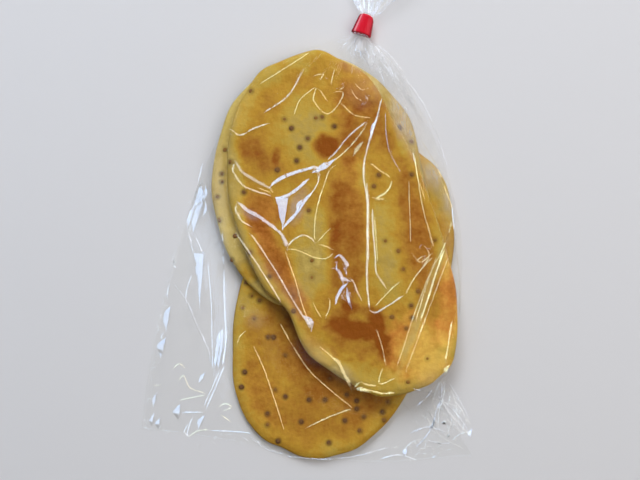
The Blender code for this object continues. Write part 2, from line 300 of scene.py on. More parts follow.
CREASES = tuple(Crease(*look, path) for look, *paths in (
    # upper left of the sheets
    (THIN, (314, 52, 290, 68, 258, 88)),
    (MEDIUM, (305, 70, 289, 98, 262, 117)),
    (THIN, (317, 88, 300, 103, 294, 119), (317, 88, 314, 102, 327, 116, 340, 104, 343, 95, 331, 94),
     (317, 88, 328, 105), (311, 79, 323, 77, 319, 84)),
    (MEDIUM, (230, 129, 239, 137, 257, 130, 271, 125)),
    (THIN, (346, 88, 338, 93)),
    # the bright fork in the middle
    (BOLD, (268, 190, 282, 181, 296, 175, 309, 171, 322, 168)),
    (FACET, (309, 174, 318, 173, 327, 169, 337, 158)),
    (MEDIUM, (326, 163, 335, 155, 346, 141, 359, 129, 368, 122)),
    (THIN, (332, 164, 343, 155, 353, 144, 364, 130)),
    (DIM, (368, 122, 362, 134, 352, 146, 336, 160)),
    (FAINT, (385, 112, 386, 136, 391, 158, 401, 176)),
    (SOFT, (235, 160, 242, 173, 255, 182, 273, 191)),
    (MEDIUM, (236, 161, 235, 173, 243, 186, 258, 193, 273, 197)),
    (THIN, (257, 188, 264, 191, 273, 194), (271, 187, 272, 191, 274, 195)),
    (MEDIUM, (311, 170, 318, 174, 319, 182, 315, 190, 307, 201)),
    (BOLD, (314, 192, 307, 201, 298, 214, 290, 223, 281, 231),
     (275, 199, 284, 199, 294, 194, 304, 186, 311, 178)),
    (WEDGE, (289, 197, 287, 211, 283, 231)),
    (BOLD, (304, 199, 300, 206, 297, 213), (237, 201, 246, 211, 259, 218, 273, 228, 281, 234),
     (274, 227, 281, 235, 285, 243, 288, 252)),
    (MEDIUM, (238, 202, 238, 212, 242, 221, 254, 228)),
    (THIN, (338, 165, 330, 171, 326, 181, 321, 196, 317, 211, 315, 226, 315, 242)),
    (MEDIUM, (287, 249, 295, 240, 304, 236, 311, 239, 316, 244)),
    (THIN, (317, 243, 323, 236, 332, 227), (287, 249, 297, 250, 306, 254, 316, 258, 327, 258, 335, 252),
     (317, 244, 327, 247, 335, 251)),
    # the long upright fold and the hook at its foot
    (MEDIUM, (382, 98, 377, 119, 371, 137, 365, 158)),
    (BOLD, (377, 119, 374, 128, 370, 141)),
    (MEDIUM, (366, 152, 364, 166, 364, 180, 367, 200, 367, 230, 367, 260, 367, 285, 370, 312),
     (366, 182, 368, 200, 368, 230, 368, 262), (367, 308, 373, 312, 386, 306, 404, 294)),
    (THIN, (374, 306, 388, 291, 400, 280), (404, 294, 412, 280, 432, 256)),
    (GOLDEN_WIDE, (364, 141, 360, 148, 352, 159)),
    (GOLDEN, (368, 163, 379, 172, 391, 179), (391, 180, 390, 187, 384, 195, 374, 199)),
    (GOLDEN_BOLD, (371, 198, 377, 200.5, 386, 200)),
    (MEDIUM, (372, 208, 373, 230, 375, 257, 377, 276, 386, 289)),
    (THIN, (374, 215, 377, 262)),
    (DIM, (408, 180, 409, 210, 410, 244)),
    (THIN, (413, 148, 416, 170, 422, 208, 433, 250)),
    (MEDIUM, (412, 150, 415, 166)),
    (THIN, (410, 252, 418, 262, 433, 252), (414, 262, 424, 254), (420, 268, 428, 256, 421, 243),
     (453, 224, 444, 244, 437, 261)),
    (GOLDEN, (444, 248, 434, 277, 427, 299, 419, 321)),
    (DIM, (455, 215, 446, 240, 432, 268, 414, 322), (436, 256, 416, 306, 396, 366),
     (448, 256, 434, 292, 404, 372)),
    # lower left of the top sheet
    (MEDIUM, (233, 229, 251, 254, 268, 280, 282, 303), (250, 232, 275, 269, 293, 300, 310, 327)),
    (THIN, (285, 249, 291, 267, 297, 285, 303, 306, 311, 327)),
    (FACET, (302, 313, 308, 322, 312, 331)),
    (BOLD, (333, 259, 338, 256, 343, 261, 346, 269, 346, 276), (336, 262, 338, 271, 341, 279, 344, 284),
     (349, 281, 342, 289, 338, 297, 335, 305), (346, 284, 348, 292, 350, 301, 352, 310)),
    (MEDIUM, (347, 276, 352, 281, 356, 291, 362, 301)),
    (BOLD, (338, 277, 344, 280, 351, 281)),
    (THIN, (328, 296, 330, 304, 325, 318), (312, 299, 318, 312, 322, 318), (375, 327, 381, 346, 386, 367)),
    (GOLDEN, (451, 318, 448, 338, 444, 363)),
    (GOLDEN_BOLD, (448, 362, 446, 368, 443, 376)),
    (THIN, (318, 344, 329, 353, 338, 362)),
    (GOLDEN_BOLD, (329, 354, 337, 361, 342, 371, 347, 381, 352, 391)),
    (GOLDEN, (353, 391, 356, 384, 362, 379)),
    (GOLDEN_WIDE, (351, 388, 358, 388.2, 364, 389.5, 371, 391)),
    (GOLDEN, (360, 380, 368, 384, 378, 384), (356, 388, 368, 389, 381, 392, 396, 391)),
    (THIN, (382, 365, 379, 382, 396, 376)),
    # bottom sheet
    (THIN, (252, 344, 264, 372, 273, 398, 284, 432), (248, 329, 240, 337, 236, 346),
     (279, 321, 292, 344, 311, 372, 330, 390, 353, 409), (353, 409, 330, 418, 304, 430)),
    (FAINT, (247, 438, 266, 452, 300, 459, 352, 459, 390, 450)),
    # left wing
    (PALE_THIN, (202, 160, 199, 172, 196, 184), (199, 172, 201, 182, 203, 194)),
    (LEDGE, (199.5, 181, 197.5, 189, 194.5, 199, 191.5, 208)),
    (LEDGE_THIN, (205, 184, 204, 193, 202, 202)),
    (PALE_WIDE, (204, 196, 200, 208, 196, 220, 191, 235)),
    (PALE_BOLD, (194, 203, 190.5, 214, 186, 229)),
    (LEDGE_THIN, (204.5, 199, 204, 208, 201, 218)),
    (PALE_THIN, (185, 229, 190, 244, 192, 256), (194, 236, 198, 246, 202, 254)),
    (PALE_WEDGE, (203, 252, 201, 274, 198, 308)),
    (PALE_THIN, (192, 272, 186, 288, 184, 300), (207, 262, 210, 300, 211, 340, 212, 372)),
    (PALE, (223, 230, 224, 262, 224, 300, 225, 345, 222, 366)),
    (PALE_BOLD, (219, 331, 218, 348, 214, 370), (222, 327, 221.5, 346, 217, 371)),
    (PALE_THIN, (226, 330, 225, 348, 221, 368)),
    (PALE, (215, 345, 215, 356, 213, 369)),
    (FAINT, (171, 283, 184, 301, 196, 328, 207, 352, 212, 372)),
    (PALE_WIDE, (169, 305, 167, 318, 164, 333), (164, 337, 162, 348, 158, 361)),
    (PALE_BOLD, (155, 394, 153, 402, 151, 410), (152, 414, 151, 421, 149, 430),
     (158, 420, 157, 426, 156, 432)),
    (PALE, (162, 333, 160, 338, 161, 343)),
    (PALE_THIN, (168, 283, 166, 292, 165, 302), (171, 266, 175, 269)),
    (PALE, (224, 366, 215, 389, 204, 413)),
    (PALE_THIN, (220, 370, 210, 392, 202, 410)),
    (PALE_GOLD, (176, 385, 181, 378, 187, 389, 205, 396), (176, 403, 190, 400, 205, 397)),
    (PALE_WIDE, (178, 405, 178, 413, 176, 423)),
    (PALE, (179, 415, 190, 415, 203, 415)),
    (PALE_BOLD, (204, 416, 200, 424, 196, 433)),
    (PALE_THIN, (192, 417, 187, 431, 185, 441)),
    (PALE_GOLD, (185, 441, 196, 434, 208, 432), (216, 410, 226, 406, 230, 409, 220, 414),
     (218, 416, 226, 422, 231, 425)),
    (PALE_THIN, (208, 433, 230, 434, 252, 435)),
    (PALE_BOLD, (204, 373, 201, 380, 196, 386)),
    (PALE_GOLD, (151, 386, 155, 388, 159, 386), (170, 372, 178, 366, 184, 371)),
    (PALE_THIN, (241, 439, 246, 443, 247, 449)),
    (PALE, (254, 441, 259, 446, 262, 450)),
    (PALE_THIN, (188, 424, 183, 436, 190, 440)),
    # upper right, towards the neck
    (PALE_BOLD, (408, 92, 411, 99, 415, 106)),
    (FAINT, (384, 62, 400, 80, 411, 96, 424, 122), (378, 56, 390, 72, 399, 88, 406, 104),
     (366, 52, 376, 66, 385, 80), (345, 46, 352, 56, 361, 66)),
    (PALE_THIN, (351, 40, 347, 43, 340, 47)),
    (FAINT, (354, 43, 351, 48, 346, 54), (358, 42, 356, 49, 354, 58), (361, 46, 361, 52, 362, 61),
     (365, 44, 367, 51, 370, 60), (369, 46, 373, 52, 378, 60)),
    (PALE_THIN, (372, 42, 377, 47, 384, 54)),
    (FAINT, (356, 47, 363, 57, 372, 72)),
    (THIN, (414, 160, 417, 178, 424, 202)),
    (FAINT, (396, 66, 422, 98, 437, 130, 449, 168)),
    (THIN, (421, 140, 434, 160, 448, 196, 455, 214)),
    (PALE, (453, 205, 456, 240, 460, 275, 461, 318)),
    (THIN, (336, 68, 333, 78, 331, 88), (350, 90, 356, 100, 366, 104), (353, 84, 362, 92, 371, 88)),
    (MEDIUM, (365, 97, 367, 103)),
    (THIN, (340, 104, 352, 116, 372, 120)),
    (FAINT, (368, 42, 378, 62, 386, 90), (371, 42, 386, 60, 398, 84), (373, 41, 392, 56, 410, 82)),
    # lower right corner
    (CORNER_BOLD, (440, 398, 448, 412, 460, 426, 471, 438)),
    (CORNER, (447, 376, 446, 396, 441, 414, 440, 430)),
    (FAINT, (444, 380, 443, 400, 437, 416, 434, 432), (436, 396, 450, 408, 464, 424, 474, 442),
     (424, 442, 440, 446, 456, 446), (410, 386, 426, 392, 440, 398)),
    (PALE_BOLD, (474, 430, 473, 436, 471, 442), (408, 450, 407, 456, 405, 461)),
    (CORNER, (431, 392, 436, 410, 442, 424), (446, 372, 440, 386, 434, 402), (404, 455, 412, 446, 424, 442)),
    (PALE, (433, 462, 438, 458), (404, 454, 408, 452)),
    (CORNER, (398, 400, 410, 412, 416, 428), (420, 400, 428, 420, 444, 440, 466, 452)),
    (PALE_THIN, (380, 462, 400, 458, 420, 464)),
    (FAINT, (450, 384, 462, 404, 472, 424)),
    (CORNER, (452, 390, 458, 408, 461, 428), (428, 398, 444, 404, 462, 410), (446, 418, 456, 430, 470, 438)),
    (FAINT, (410, 436, 430, 430, 450, 436), (416, 452, 430, 436, 438, 418)),
    (CORNER, (452, 444, 462, 437, 472, 434)),
    (CORNER_BOLD, (426, 408, 434, 420, 438, 434)),
    (CORNER, (456, 402, 464, 414, 470, 428)),
    (FAINT, (436, 386, 428, 398, 416, 408)),
) for path in paths)
# short crinkles scattered along a line: how many, how far they stray, mean length, path, seed
CRINKLE_LENGTHS = (0.5, 1.4)
CRINKLE_WIDTHS = (0.7, 1.3)
Crinkles = namedtuple("Crinkles", "count stray length path seed")
CRINKLES = (
    Crinkles(40, 4.0, 6.0, (186, 200, 172, 262, 163, 312, 156, 352, 149, 392, 142, 430), 21),
    Crinkles(20, 4.0, 7.0, (201, 192, 197, 207, 190, 228), 22),
    Crinkles(10, 9.0, 8.0, (150, 432, 200, 436, 250, 446), 23),
    Crinkles(60, 15.0, 8.0, (420, 412, 456, 428, 440, 450, 404, 452), 24),
    Crinkles(30, 7.0, 8.0, (444, 384, 458, 408, 470, 434), 25),
    Crinkles(7, 7.0, 7.0, (418, 258, 430, 250), 26),
    Crinkles(6, 8.0, 6.0, (318, 82, 360, 96, 368, 108), 27),
    Crinkles(7, 6.0, 7.0, (338, 262, 346, 300), 28),
)

# ---- whitish film: clouded where layers lie together, and painted light in some patches ----
Patch = namedtuple("Patch", "u v half_u half_v turn strength edge")
# some patches are painted light: whitish film laid where the film shows bright reflections, on the left wing
# and between the folds of the fork, and over the shadows under the tape and in the lower right corner
HAZE_AND_PAINTED_LIGHT = (
    Patch(362, 55, 20, 15, 0, 0.34, 0.9), Patch(361, 43, 11, 9, 18, 0.85, 0.9),
    Patch(380, 62, 12, 26, -38, 0.20, 0.9), Patch(194, 206, 9, 26, 18, 0.12, 0.7),
    Patch(199, 190, 7, 12, 10, 0.40, 0.8), Patch(219, 352, 6, 18, 8, 0.34, 0.8),
    Patch(194, 243, 6, 13, -16, 0.12, 0.6), Patch(250, 214, 10, 5, 30, 0.40, 0.7),
    Patch(298, 206, 8, 17, 18, 0.42, 0.8), Patch(343, 372, 16, 7, 35, 0.16, 0.8),
    Patch(386, 76, 20, 34, -35, 0.28, 0.9), Patch(364, 96, 18, 13, 20, 0.08, 0.9),
    Patch(218, 195, 9, 60, -4, 0.22, 0.8), Patch(229, 242, 8, 22, -20, 0.16, 0.9),
    Patch(403, 122, 12, 34, -22, 0.46, 0.8), Patch(433, 176, 12, 16, -20, 0.42, 0.8),
    Patch(449, 200, 6, 16, -10, 0.34, 0.8), Patch(300, 290, 14, 12, 0, 0.10, 0.9),
    Patch(312, 350, 20, 12, 30, 0.12, 0.8), Patch(440, 190, 10, 22, -20, 0.06, 0.9),
    Patch(426, 132, 10, 70, -22, 0.10, 0.9), Patch(448, 220, 10, 60, -8, 0.08, 0.9),
    Patch(196, 255, 13, 92, 4, 0.10, 0.9), Patch(216, 330, 9, 60, 0, 0.08, 0.9),
    Patch(255, 320, 10, 10, 0, 0.16, 0.8), Patch(423, 300, 5, 72, 20, 0.13, 0.6),
    Patch(262, 268, 6, 52, -36, 0.10, 0.8), Patch(285, 290, 6, 48, -30, 0.06, 0.8),
    Patch(150, 395, 12, 60, 12, 0.06, 0.9), Patch(450, 422, 26, 26, 30, 0.12, 0.8),
    Patch(425, 385, 26, 14, -30, 0.10, 0.9),
)

# ---- browning of the sheets: soft ellipses on the placing field ----
BROWNING = {
    "top": (
        # brown: blob, band, end patch
        Patch(325, 147, 14, 13, -8, 0.84, 0.50), Patch(327, 64, 20, 14, 0, 0.34, 0.80),
        Patch(350, 140, 16, 24, 0, 0.30, 0.70), Patch(347, 238, 17, 80, 0, 0.30, 0.34),
        Patch(356, 330, 33, 27, 0, 0.30, 0.25), Patch(352, 328, 24, 10, 14, 0.34, 0.50),
        Patch(376, 322, 8, 14, -10, 0.26, 0.60), Patch(383, 348, 8, 15, -14, 0.40, 0.50),
        Patch(355, 345, 13, 8, 0, -0.16, 0.70), Patch(356, 317, 9, 5, 0, -0.42, 0.80),
        Patch(352, 374, 46, 13, 0, -0.15, 0.15), Patch(422, 352, 26, 26, -20, -0.16, 0.60),
        Patch(334, 205, 12, 36, 4, 0.22, 0.70), Patch(331, 262, 9, 22, 0, 0.22, 0.70),
        # left side
        Patch(268, 96, 22, 17, 30, 0.14, 0.80), Patch(290, 74, 22, 10, 30, 0.20, 0.90),
        Patch(248, 147, 14, 14, 0, 0.34, 0.80), Patch(266, 163, 12, 14, 0, 0.22, 0.80),
        Patch(277, 158, 4, 11, 10, 0.34, 0.60), Patch(262, 212, 21, 20, -20, 0.26, 0.70),
        Patch(278, 262, 12, 62, -29, 0.34, 0.60),
        # upper right and right side
        Patch(362, 92, 26, 34, -20, 0.28, 0.60), Patch(384, 128, 14, 34, -14, 0.30, 0.70),
        Patch(418, 222, 17, 84, -6, 0.28, 0.50), Patch(400, 180, 8, 24, -10, 0.16, 0.80),
        Patch(452, 290, 7, 58, 4, 0.34, 0.80), Patch(438, 305, 12, 34, 10, 0.06, 0.80),
        # pale islands
        Patch(310, 132, 27, 33, 0, -0.42, 0.70), Patch(312, 264, 19, 36, 0, -0.44, 0.75),
        Patch(316, 222, 13, 22, 0, -0.30, 0.50), Patch(384, 246, 14, 56, -6, -0.38, 0.75),
        Patch(391, 160, 8, 16, -20, -0.10, 0.60), Patch(362, 182, 8, 24, 0, -0.16, 0.70),
        Patch(236, 180, 9, 60, -8, -0.30, 0.60), Patch(420, 308, 5, 66, 20, -0.26, 0.60),
        # the first patch on the next line pales the top sheet's lower rim: painted light against the shade
        # where the rim curves down
        Patch(322, 358, 16, 12, -40, -0.08, 0.80), Patch(388, 384, 24, 9, -15, 0.04, 0.80),
        Patch(242, 112, 11, 28, 28, -0.12, 0.80),
    ),
    "middle": (
        Patch(403, 130, 14, 50, -20, 0.48, 0.90), Patch(246, 276, 16, 14, -30, 0.68, 0.80),
        Patch(416, 214, 12, 14, 0, 0.65, 0.90),
    ),
    "bottom": (
        Patch(330, 372, 64, 26, 36, 0.22, 0.80), Patch(300, 425, 60, 30, 0, 0.06, 0.90),
        Patch(262, 288, 16, 12, 0, 0.22, 0.80), Patch(310, 345, 20, 30, -30, 0.26, 0.80),
        Patch(252, 304, 14, 16, 0, -0.26, 0.80), Patch(438, 190, 14, 30, -20, -0.38, 0.90),
        Patch(240, 350, 9, 40, 0, -0.20, 0.80), Patch(262, 392, 14, 16, 0, 0.14, 0.80),
        Patch(285, 380, 22, 20, 0, -0.06, 0.80), Patch(344, 430, 24, 12, 0, 0.12, 0.80),
    ),
}
ORANGE = {
    "top": (
        Patch(414, 350, 34, 40, -20, 0.95, 0.40), Patch(449, 300, 13, 62, 2, 0.90, 0.50),
        Patch(262, 212, 20, 20, -20, 0.60, 0.80), Patch(278, 262, 11, 60, -29, 0.80, 0.70),
        Patch(360, 92, 26, 32, -20, 0.40, 0.90), Patch(350, 190, 16, 60, 0, 0.25, 0.80),
        Patch(418, 240, 12, 50, -6, 0.30, 0.80), Patch(420, 308, 5, 66, 20, -0.50, 0.60),
        # the first patch on the next line, pale orange on the top sheet's lower rim, is painted light against
        # the shade where the rim curves down
        Patch(320, 358, 16, 12, -40, 0.32, 0.80), Patch(242, 112, 11, 28, 28, 0.20, 0.80),
    ),
    "middle": (
        Patch(219, 200, 11, 62, -4, 0.15, 0.90),
    ),
    "bottom": (
        Patch(266, 390, 26, 34, 0, 0.20, 0.90), Patch(330, 378, 44, 20, 36, 0.35, 0.90),
    ),
}
BASE_BROWNING = {"top": 0.47, "middle": -0.20, "bottom": 0.57}
PALE_RIM = {"top": 0.24, "middle": 0.04, "bottom": 0.14}
PALE_RIM_REACH = (0.84, 0.95)
ORANGE_LEVEL = 0.85
PATCH_SPREAD = 0.6       # how far a patch's soft edge lies outside its ellipse
BACK_BROWNING = 0.42
BACK_PALE_RIM = 0.25
BACK_RIM_REACH = (0.84, 0.96)
BACK_ORANGE = 0.25
BACK_ORANGE_CLOUDS = (-0.2, 0.6)
HALO_REACH = (0.55, 1.35)

# ---- seeds: place on the field and how plainly each shows ----
SEED_RADIUS = 1.8
SEED_PLACES = {
    "top": (
        (252, 93, 0.6), (285, 121, 0.5), (292, 130, 0.9), (322, 119, 0.7), (334, 128, 1.0), (308, 140, 0.8),
        (300, 149, 1.0), (297, 162, 1.0), (278, 171, 0.8), (245, 193, 0.9), (232, 163, 0.7), (378, 176, 0.8),
        (373, 187, 0.6), (309, 211, 0.7), (384, 241, 0.4), (312, 260, 0.5), (411, 175, 0.7), (236, 236, 0.8),
        (251, 252, 0.6), (270, 276, 0.7), (312, 277, 0.4), (397, 251, 0.5), (402, 269, 0.5), (417, 291, 0.6),
        (410, 305, 0.8), (411, 317, 0.8), (391, 316, 0.5), (426, 357, 0.3), (407, 380, 0.3), (405, 327, 0.4),
        (294, 310, 0.6), (316, 120, 0.4), (434, 240, 0.4),
    ),
    "middle": (
        (399, 128, 1.0), (222, 174, 0.8), (222, 182, 0.7), (218, 197, 0.7), (220, 220, 0.5), (232, 260, 0.7),
        (225, 150, 0.4), (411, 142, 0.5),
    ),
    "bottom": (
        (268, 338, 0.9), (273, 338, 0.9), (285, 356, 0.6), (244, 373, 1.0), (241, 388, 1.0), (275, 391, 0.5),
        (285, 398, 1.0), (309, 401, 1.0), (325, 401, 1.0), (357, 402, 1.0), (357, 410, 1.0), (364, 418, 0.8),
        (383, 413, 1.0), (389, 403, 0.6), (384, 421, 0.6), (267, 415, 0.9), (267, 426, 0.6), (301, 423, 1.0),
        (345, 422, 1.0), (360, 432, 0.7), (278, 442, 1.0), (329, 444, 1.0), (347, 396, 0.8), (259, 301, 0.7),
        (251, 296, 0.6), (254, 319, 0.5), (242, 308, 0.4), (246, 283, 0.6), (434, 219, 0.7), (428, 196, 0.4),
        (312, 352, 0.5), (330, 380, 0.5),
    ),
}
SEED_LATTICE = 11.0      # mm between seeds that are placed at random
SEED_REACH = 110.0
SEED_STRAY = 4.0
SEED_INSIDE = 0.92
SEED_STRENGTHS = (0.3, 1.0)
SEED_SUNK_TOP = 0.18
SEED_SUNK_UNDER = 0.22
SEED_SHARE = 0.72        # share of its radius that a seed shows above the dough
SEED_SIZES = (0.85, 1.15)
SEED_FAINTEST = 0.8
SEED_FLATNESS = 0.28
SEED_SIZE_SEED = 8
SEED_PLACE_SEED = 60
SEED_COVER = 0.75        # how much dough covers a seed that hardly shows
SEED_PALE_MIDDLE = 0.22
SEED_MIDDLE_POWER = 6
SEED_SIDES = 14
SEED_RINGS = 4

# ---- looks of the materials ----
# noises: features for each metre, detail, and how far each shifts the browning
DOUGH_MOTTLES = ((150.0, 4.0, 0.46), (390.0, 3.0, 0.34), (700.0, 3.0, 0.26))
BROWNING_SHIFT = 0.25    # the browning is shifted, then scaled, on to the colours' stops
BROWNING_SCALE = 0.8
PLAIN_STOPS = (
    ("raw", 0.0), ("pale", 0.19), ("yellow", 0.376), ("gold", 0.56), ("brown", 0.76), ("dark", 1.0))
OILY_STOPS = (("orange_pale", 0.32), ("orange", 0.68), ("dark", 1.0))
HALO_STRENGTH = 0.78
NOISE_ROUGHNESS = 0.55
FACING_POWER = 5.0       # how the film's gloss grows at a slant, and by how much
FACING_GLOSS = 0.30
ALONG_FILM = (1.0, 0.45, 1.0)  # stretches a noise along the bag or the neck
CLOUD_STRETCH = (1.6, 0.5, 1.0)
TAPE_STRETCH = (1.0, 0.3, 1.0)
WRINKLE_STRETCH = (1.0, 0.25, 1.0)
# strength of the tape's painted highlight line
PAINTED_HIGHLIGHT_STRENGTH = 0.85
FLOOR_UNEVENNESS = 0.985


# ---- settings ----
def colour_setting(name, description, default):
    """A colour that the user may change."""
    return bpy.props.FloatVectorProperty(
        name=name, description=description, subtype="COLOR", size=3, min=0.0, max=1.0, default=default)


def factor_setting(name, description, default, highest=1.0):
    """A share or strength that the user may change."""
    return bpy.props.FloatProperty(
        name=name, description=description, subtype="FACTOR", min=0.0, max=highest, default=default)


class DoughSettings(bpy.types.PropertyGroup):
    """Sizes and colours of the fried sheets and their seeds."""

    thickness: bpy.props.FloatProperty(
        name="Thickness", description="Thickness of a sheet", unit="LENGTH", subtype="DISTANCE",
        min=0.002, max=0.004, default=SHEET_THICKNESS * MM)
    seed_radius: bpy.props.FloatProperty(
        name="Seed Radius", description="Radius of a seed", unit="LENGTH", subtype="DISTANCE",
        min=0.001, max=0.003, default=SEED_RADIUS * MM)
    raw: colour_setting("Raw", "Dough that the oil hardly coloured", (0.73, 0.55, 0.15))
    pale: colour_setting("Pale", "Dough that did not brown", (0.540, 0.375, 0.090))
    yellow: colour_setting("Yellow", "Dough that hardly browned", (0.600, 0.395, 0.062))
    gold: colour_setting("Gold", "Dough fried golden", (0.580, 0.322, 0.035))
    brown: colour_setting("Brown", "Dough fried brown", (0.465, 0.212, 0.026))
    dark: colour_setting("Dark", "The darkest spots", (0.31, 0.085, 0.005))
    orange_pale: colour_setting("Pale Orange", "Oily dough, hardly browned", (1.0, 0.62, 0.115))
    orange: colour_setting("Orange", "Oily dough, browned", (0.70, 0.260, 0.045))
    seed: colour_setting("Seed", "Seeds", (0.125, 0.055, 0.018))


class FilmSettings(bpy.types.PropertyGroup):
    """Look of the clear film."""

    fold_height: factor_setting("Fold Height", "Scale of the folds' height", 1.0, 2.0)
    gloss: factor_setting("Gloss", "Share of light the film mirrors when seen straight on", 0.055)
    roughness: factor_setting("Roughness", "Blur of the film's reflections", 0.07)
    tint: colour_setting("Tint", "Colour of the light that comes through", (0.994, 0.994, 0.990))
    # colour of the film's white layer: clouded film, and also painted highlights and painted light where it
    # lies on folds' lit sides and over shadows
    haze: colour_setting("Haze", "Colour of clouded film", (0.86, 0.87, 0.90))
    warm: colour_setting("Warm Gloss", "Gloss where film clings to oily dough", (1.0, 0.82, 0.36))


class TapeSettings(bpy.types.PropertyGroup):
    """Look of the tape round the neck."""

    colour: colour_setting("Colour", "Colour of the tape", (0.82, 0.006, 0.026))
    shade: colour_setting("Shade", "Deeper red between the stretch marks", (0.56, 0.004, 0.018))
    # dark colour of the doubled tape, also used as painted shade at both sides of the band
    doubled_and_shaded: colour_setting("Doubled", "Colour where the tape lies doubled", (0.26, 0.002, 0.014))
    # colour of the tape's painted highlight line, pale pink
    painted_highlight: colour_setting("Worn", "Colour of the stretched line", (0.95, 0.40, 0.46))


class StageSettings(bpy.types.PropertyGroup):
    """Floor and studio light."""

    floor: colour_setting("Floor", "Colour of the floor", (0.76, 0.755, 0.765))
    light: factor_setting("Light", "Brightness of the softboxes", 1.0, 3.0)
    ambient: factor_setting("Ambient", "Brightness of the room", 0.08, 2.0)


SETTINGS = {
    "dough_sheet_settings": DoughSettings,
    "dough_film_settings": FilmSettings,
    "dough_tape_settings": TapeSettings,
    "dough_stage_settings": StageSettings,
}


# ---- plain functions ----
def spot(u, v):
    """Plan position in mm of a place on the placing field: steps right and down times the step."""
    return (u - FIELD_X) * FIELD_STEP, (FIELD_Y - v) * FIELD_STEP


def smooth(low, high, value):
    """0 below low, 1 above high, and a smooth S between them."""
    t = np.clip((value - low) / (high - low), 0.0, 1.0)
    return t * t * (3.0 - 2.0 * t)


def soft_noise(x, y, size, seed):
    """Seeded noise from -1 to 1: random values on a square lattice, joined by smooth S curves."""
    lattice = np.random.default_rng(seed).uniform(-1.0, 1.0, (NOISE_LATTICE, NOISE_LATTICE))
    u, v = np.asarray(x) / size, np.asarray(y) / size
    column, row = np.floor(u).astype(int), np.floor(v).astype(int)
    s, t = smooth(0.0, 1.0, u - column), smooth(0.0, 1.0, v - row)
    column, row = column % NOISE_LATTICE, row % NOISE_LATTICE
    right, above = (column + 1) % NOISE_LATTICE, (row + 1) % NOISE_LATTICE
    lower = lattice[row, column] * (1.0 - s) + lattice[row, right] * s
    upper = lattice[above, column] * (1.0 - s) + lattice[above, right] * s
    return lower * (1.0 - t) + upper * t


def layered_noise(x, y, layers, offset=0):
    """Sum of soft noises: each layer's height times its noise, with seeds counted up from the first."""
    seed, *sizes = layers
    return sum(
        height * soft_noise(x, y, size, seed + offset + number)
        for number, (size, height) in enumerate(sizes))


def between(rise, fall, value):
    """0 below the rise and above the fall, 1 between them, with smooth flanks."""
    return smooth(*rise, value) * (1.0 - smooth(*fall, value))


def crowded_shares(columns, crowding):
    """Shares from 0 to 1 across a row of columns, crowded towards both ends by a cosine."""
    even = np.linspace(0.0, 1.0, columns + 1)
    return (1.0 - crowding) * even + crowding * (1.0 - np.cos(pi * even)) / 2.0


def patch_sum(x, y, patches):
    """Sum of soft ellipses: each is full inside, fades over its edge share, and its rim wavers."""
    total = np.zeros_like(x)
    waver = layered_noise(x, y, PATCH_WAVER)
    for patch in patches:
        centre_x, centre_y = spot(patch.u, patch.v)
        turn = radians(patch.turn)
        across = (x - centre_x) * cos(turn) - (y - centre_y) * sin(turn)
        up = (x - centre_x) * sin(turn) + (y - centre_y) * cos(turn)
        radius = np.hypot(across / patch.half_u, up / patch.half_v) / FIELD_STEP + waver
        total += patch.strength * (1.0 - smooth(1.0 - patch.edge, 1.0 + PATCH_SPREAD * patch.edge, radius))
    return total


# ---- meshes ----
def grid_faces(index):
    """Quads between neighbouring rows and columns of a grid of vertex numbers, facing up."""
    corners = [index[:-1, :-1], index[:-1, 1:], index[1:, 1:], index[1:, :-1]]
    return np.stack(corners, axis=-1).reshape(-1, 4)


def strip_faces(first, second):
    """Quads between two rows of vertex numbers."""
    return np.stack([first[:-1], first[1:], second[1:], second[:-1]], axis=-1)


def new_piece(name, points, faces, material, attributes=None, rounded=True):
    """Object from points in mm and arrays of faces, smooth or flat shaded, with its attributes.

    An attribute holds one value for each point or one for each face.
    """
    mesh = bpy.data.meshes.new(name)
    mesh.vertices.add(len(points))
    mesh.vertices.foreach_set("co", np.asarray(points * MM, dtype=np.float32).ravel())
    corners = np.concatenate([part.ravel() for part in faces]).astype(np.int32)
    sizes = np.concatenate([np.full(len(part), part.shape[1]) for part in faces])
    mesh.loops.add(len(corners))
    mesh.loops.foreach_set("vertex_index", corners)
    mesh.polygons.add(len(sizes))
    starts = np.concatenate([[0], np.cumsum(sizes)[:-1]]).astype(np.int32)
    mesh.polygons.foreach_set("loop_start", starts)
    mesh.polygons.foreach_set("use_smooth", np.full(len(sizes), rounded))
    mesh.update(calc_edges=True)
    if mesh.validate():
        raise RuntimeError(f"{name}: the mesh had faults")
    for key, values in (attributes or {}).items():
        layer = mesh.attributes.new(key, "FLOAT", "POINT" if len(values) == len(points) else "FACE")
        layer.data.foreach_set("value", np.asarray(values, dtype=np.float32))
    mesh.materials.append(material)
    piece = bpy.data.objects.new(name, mesh)
    bpy.context.scene.collection.objects.link(piece)
    return piece


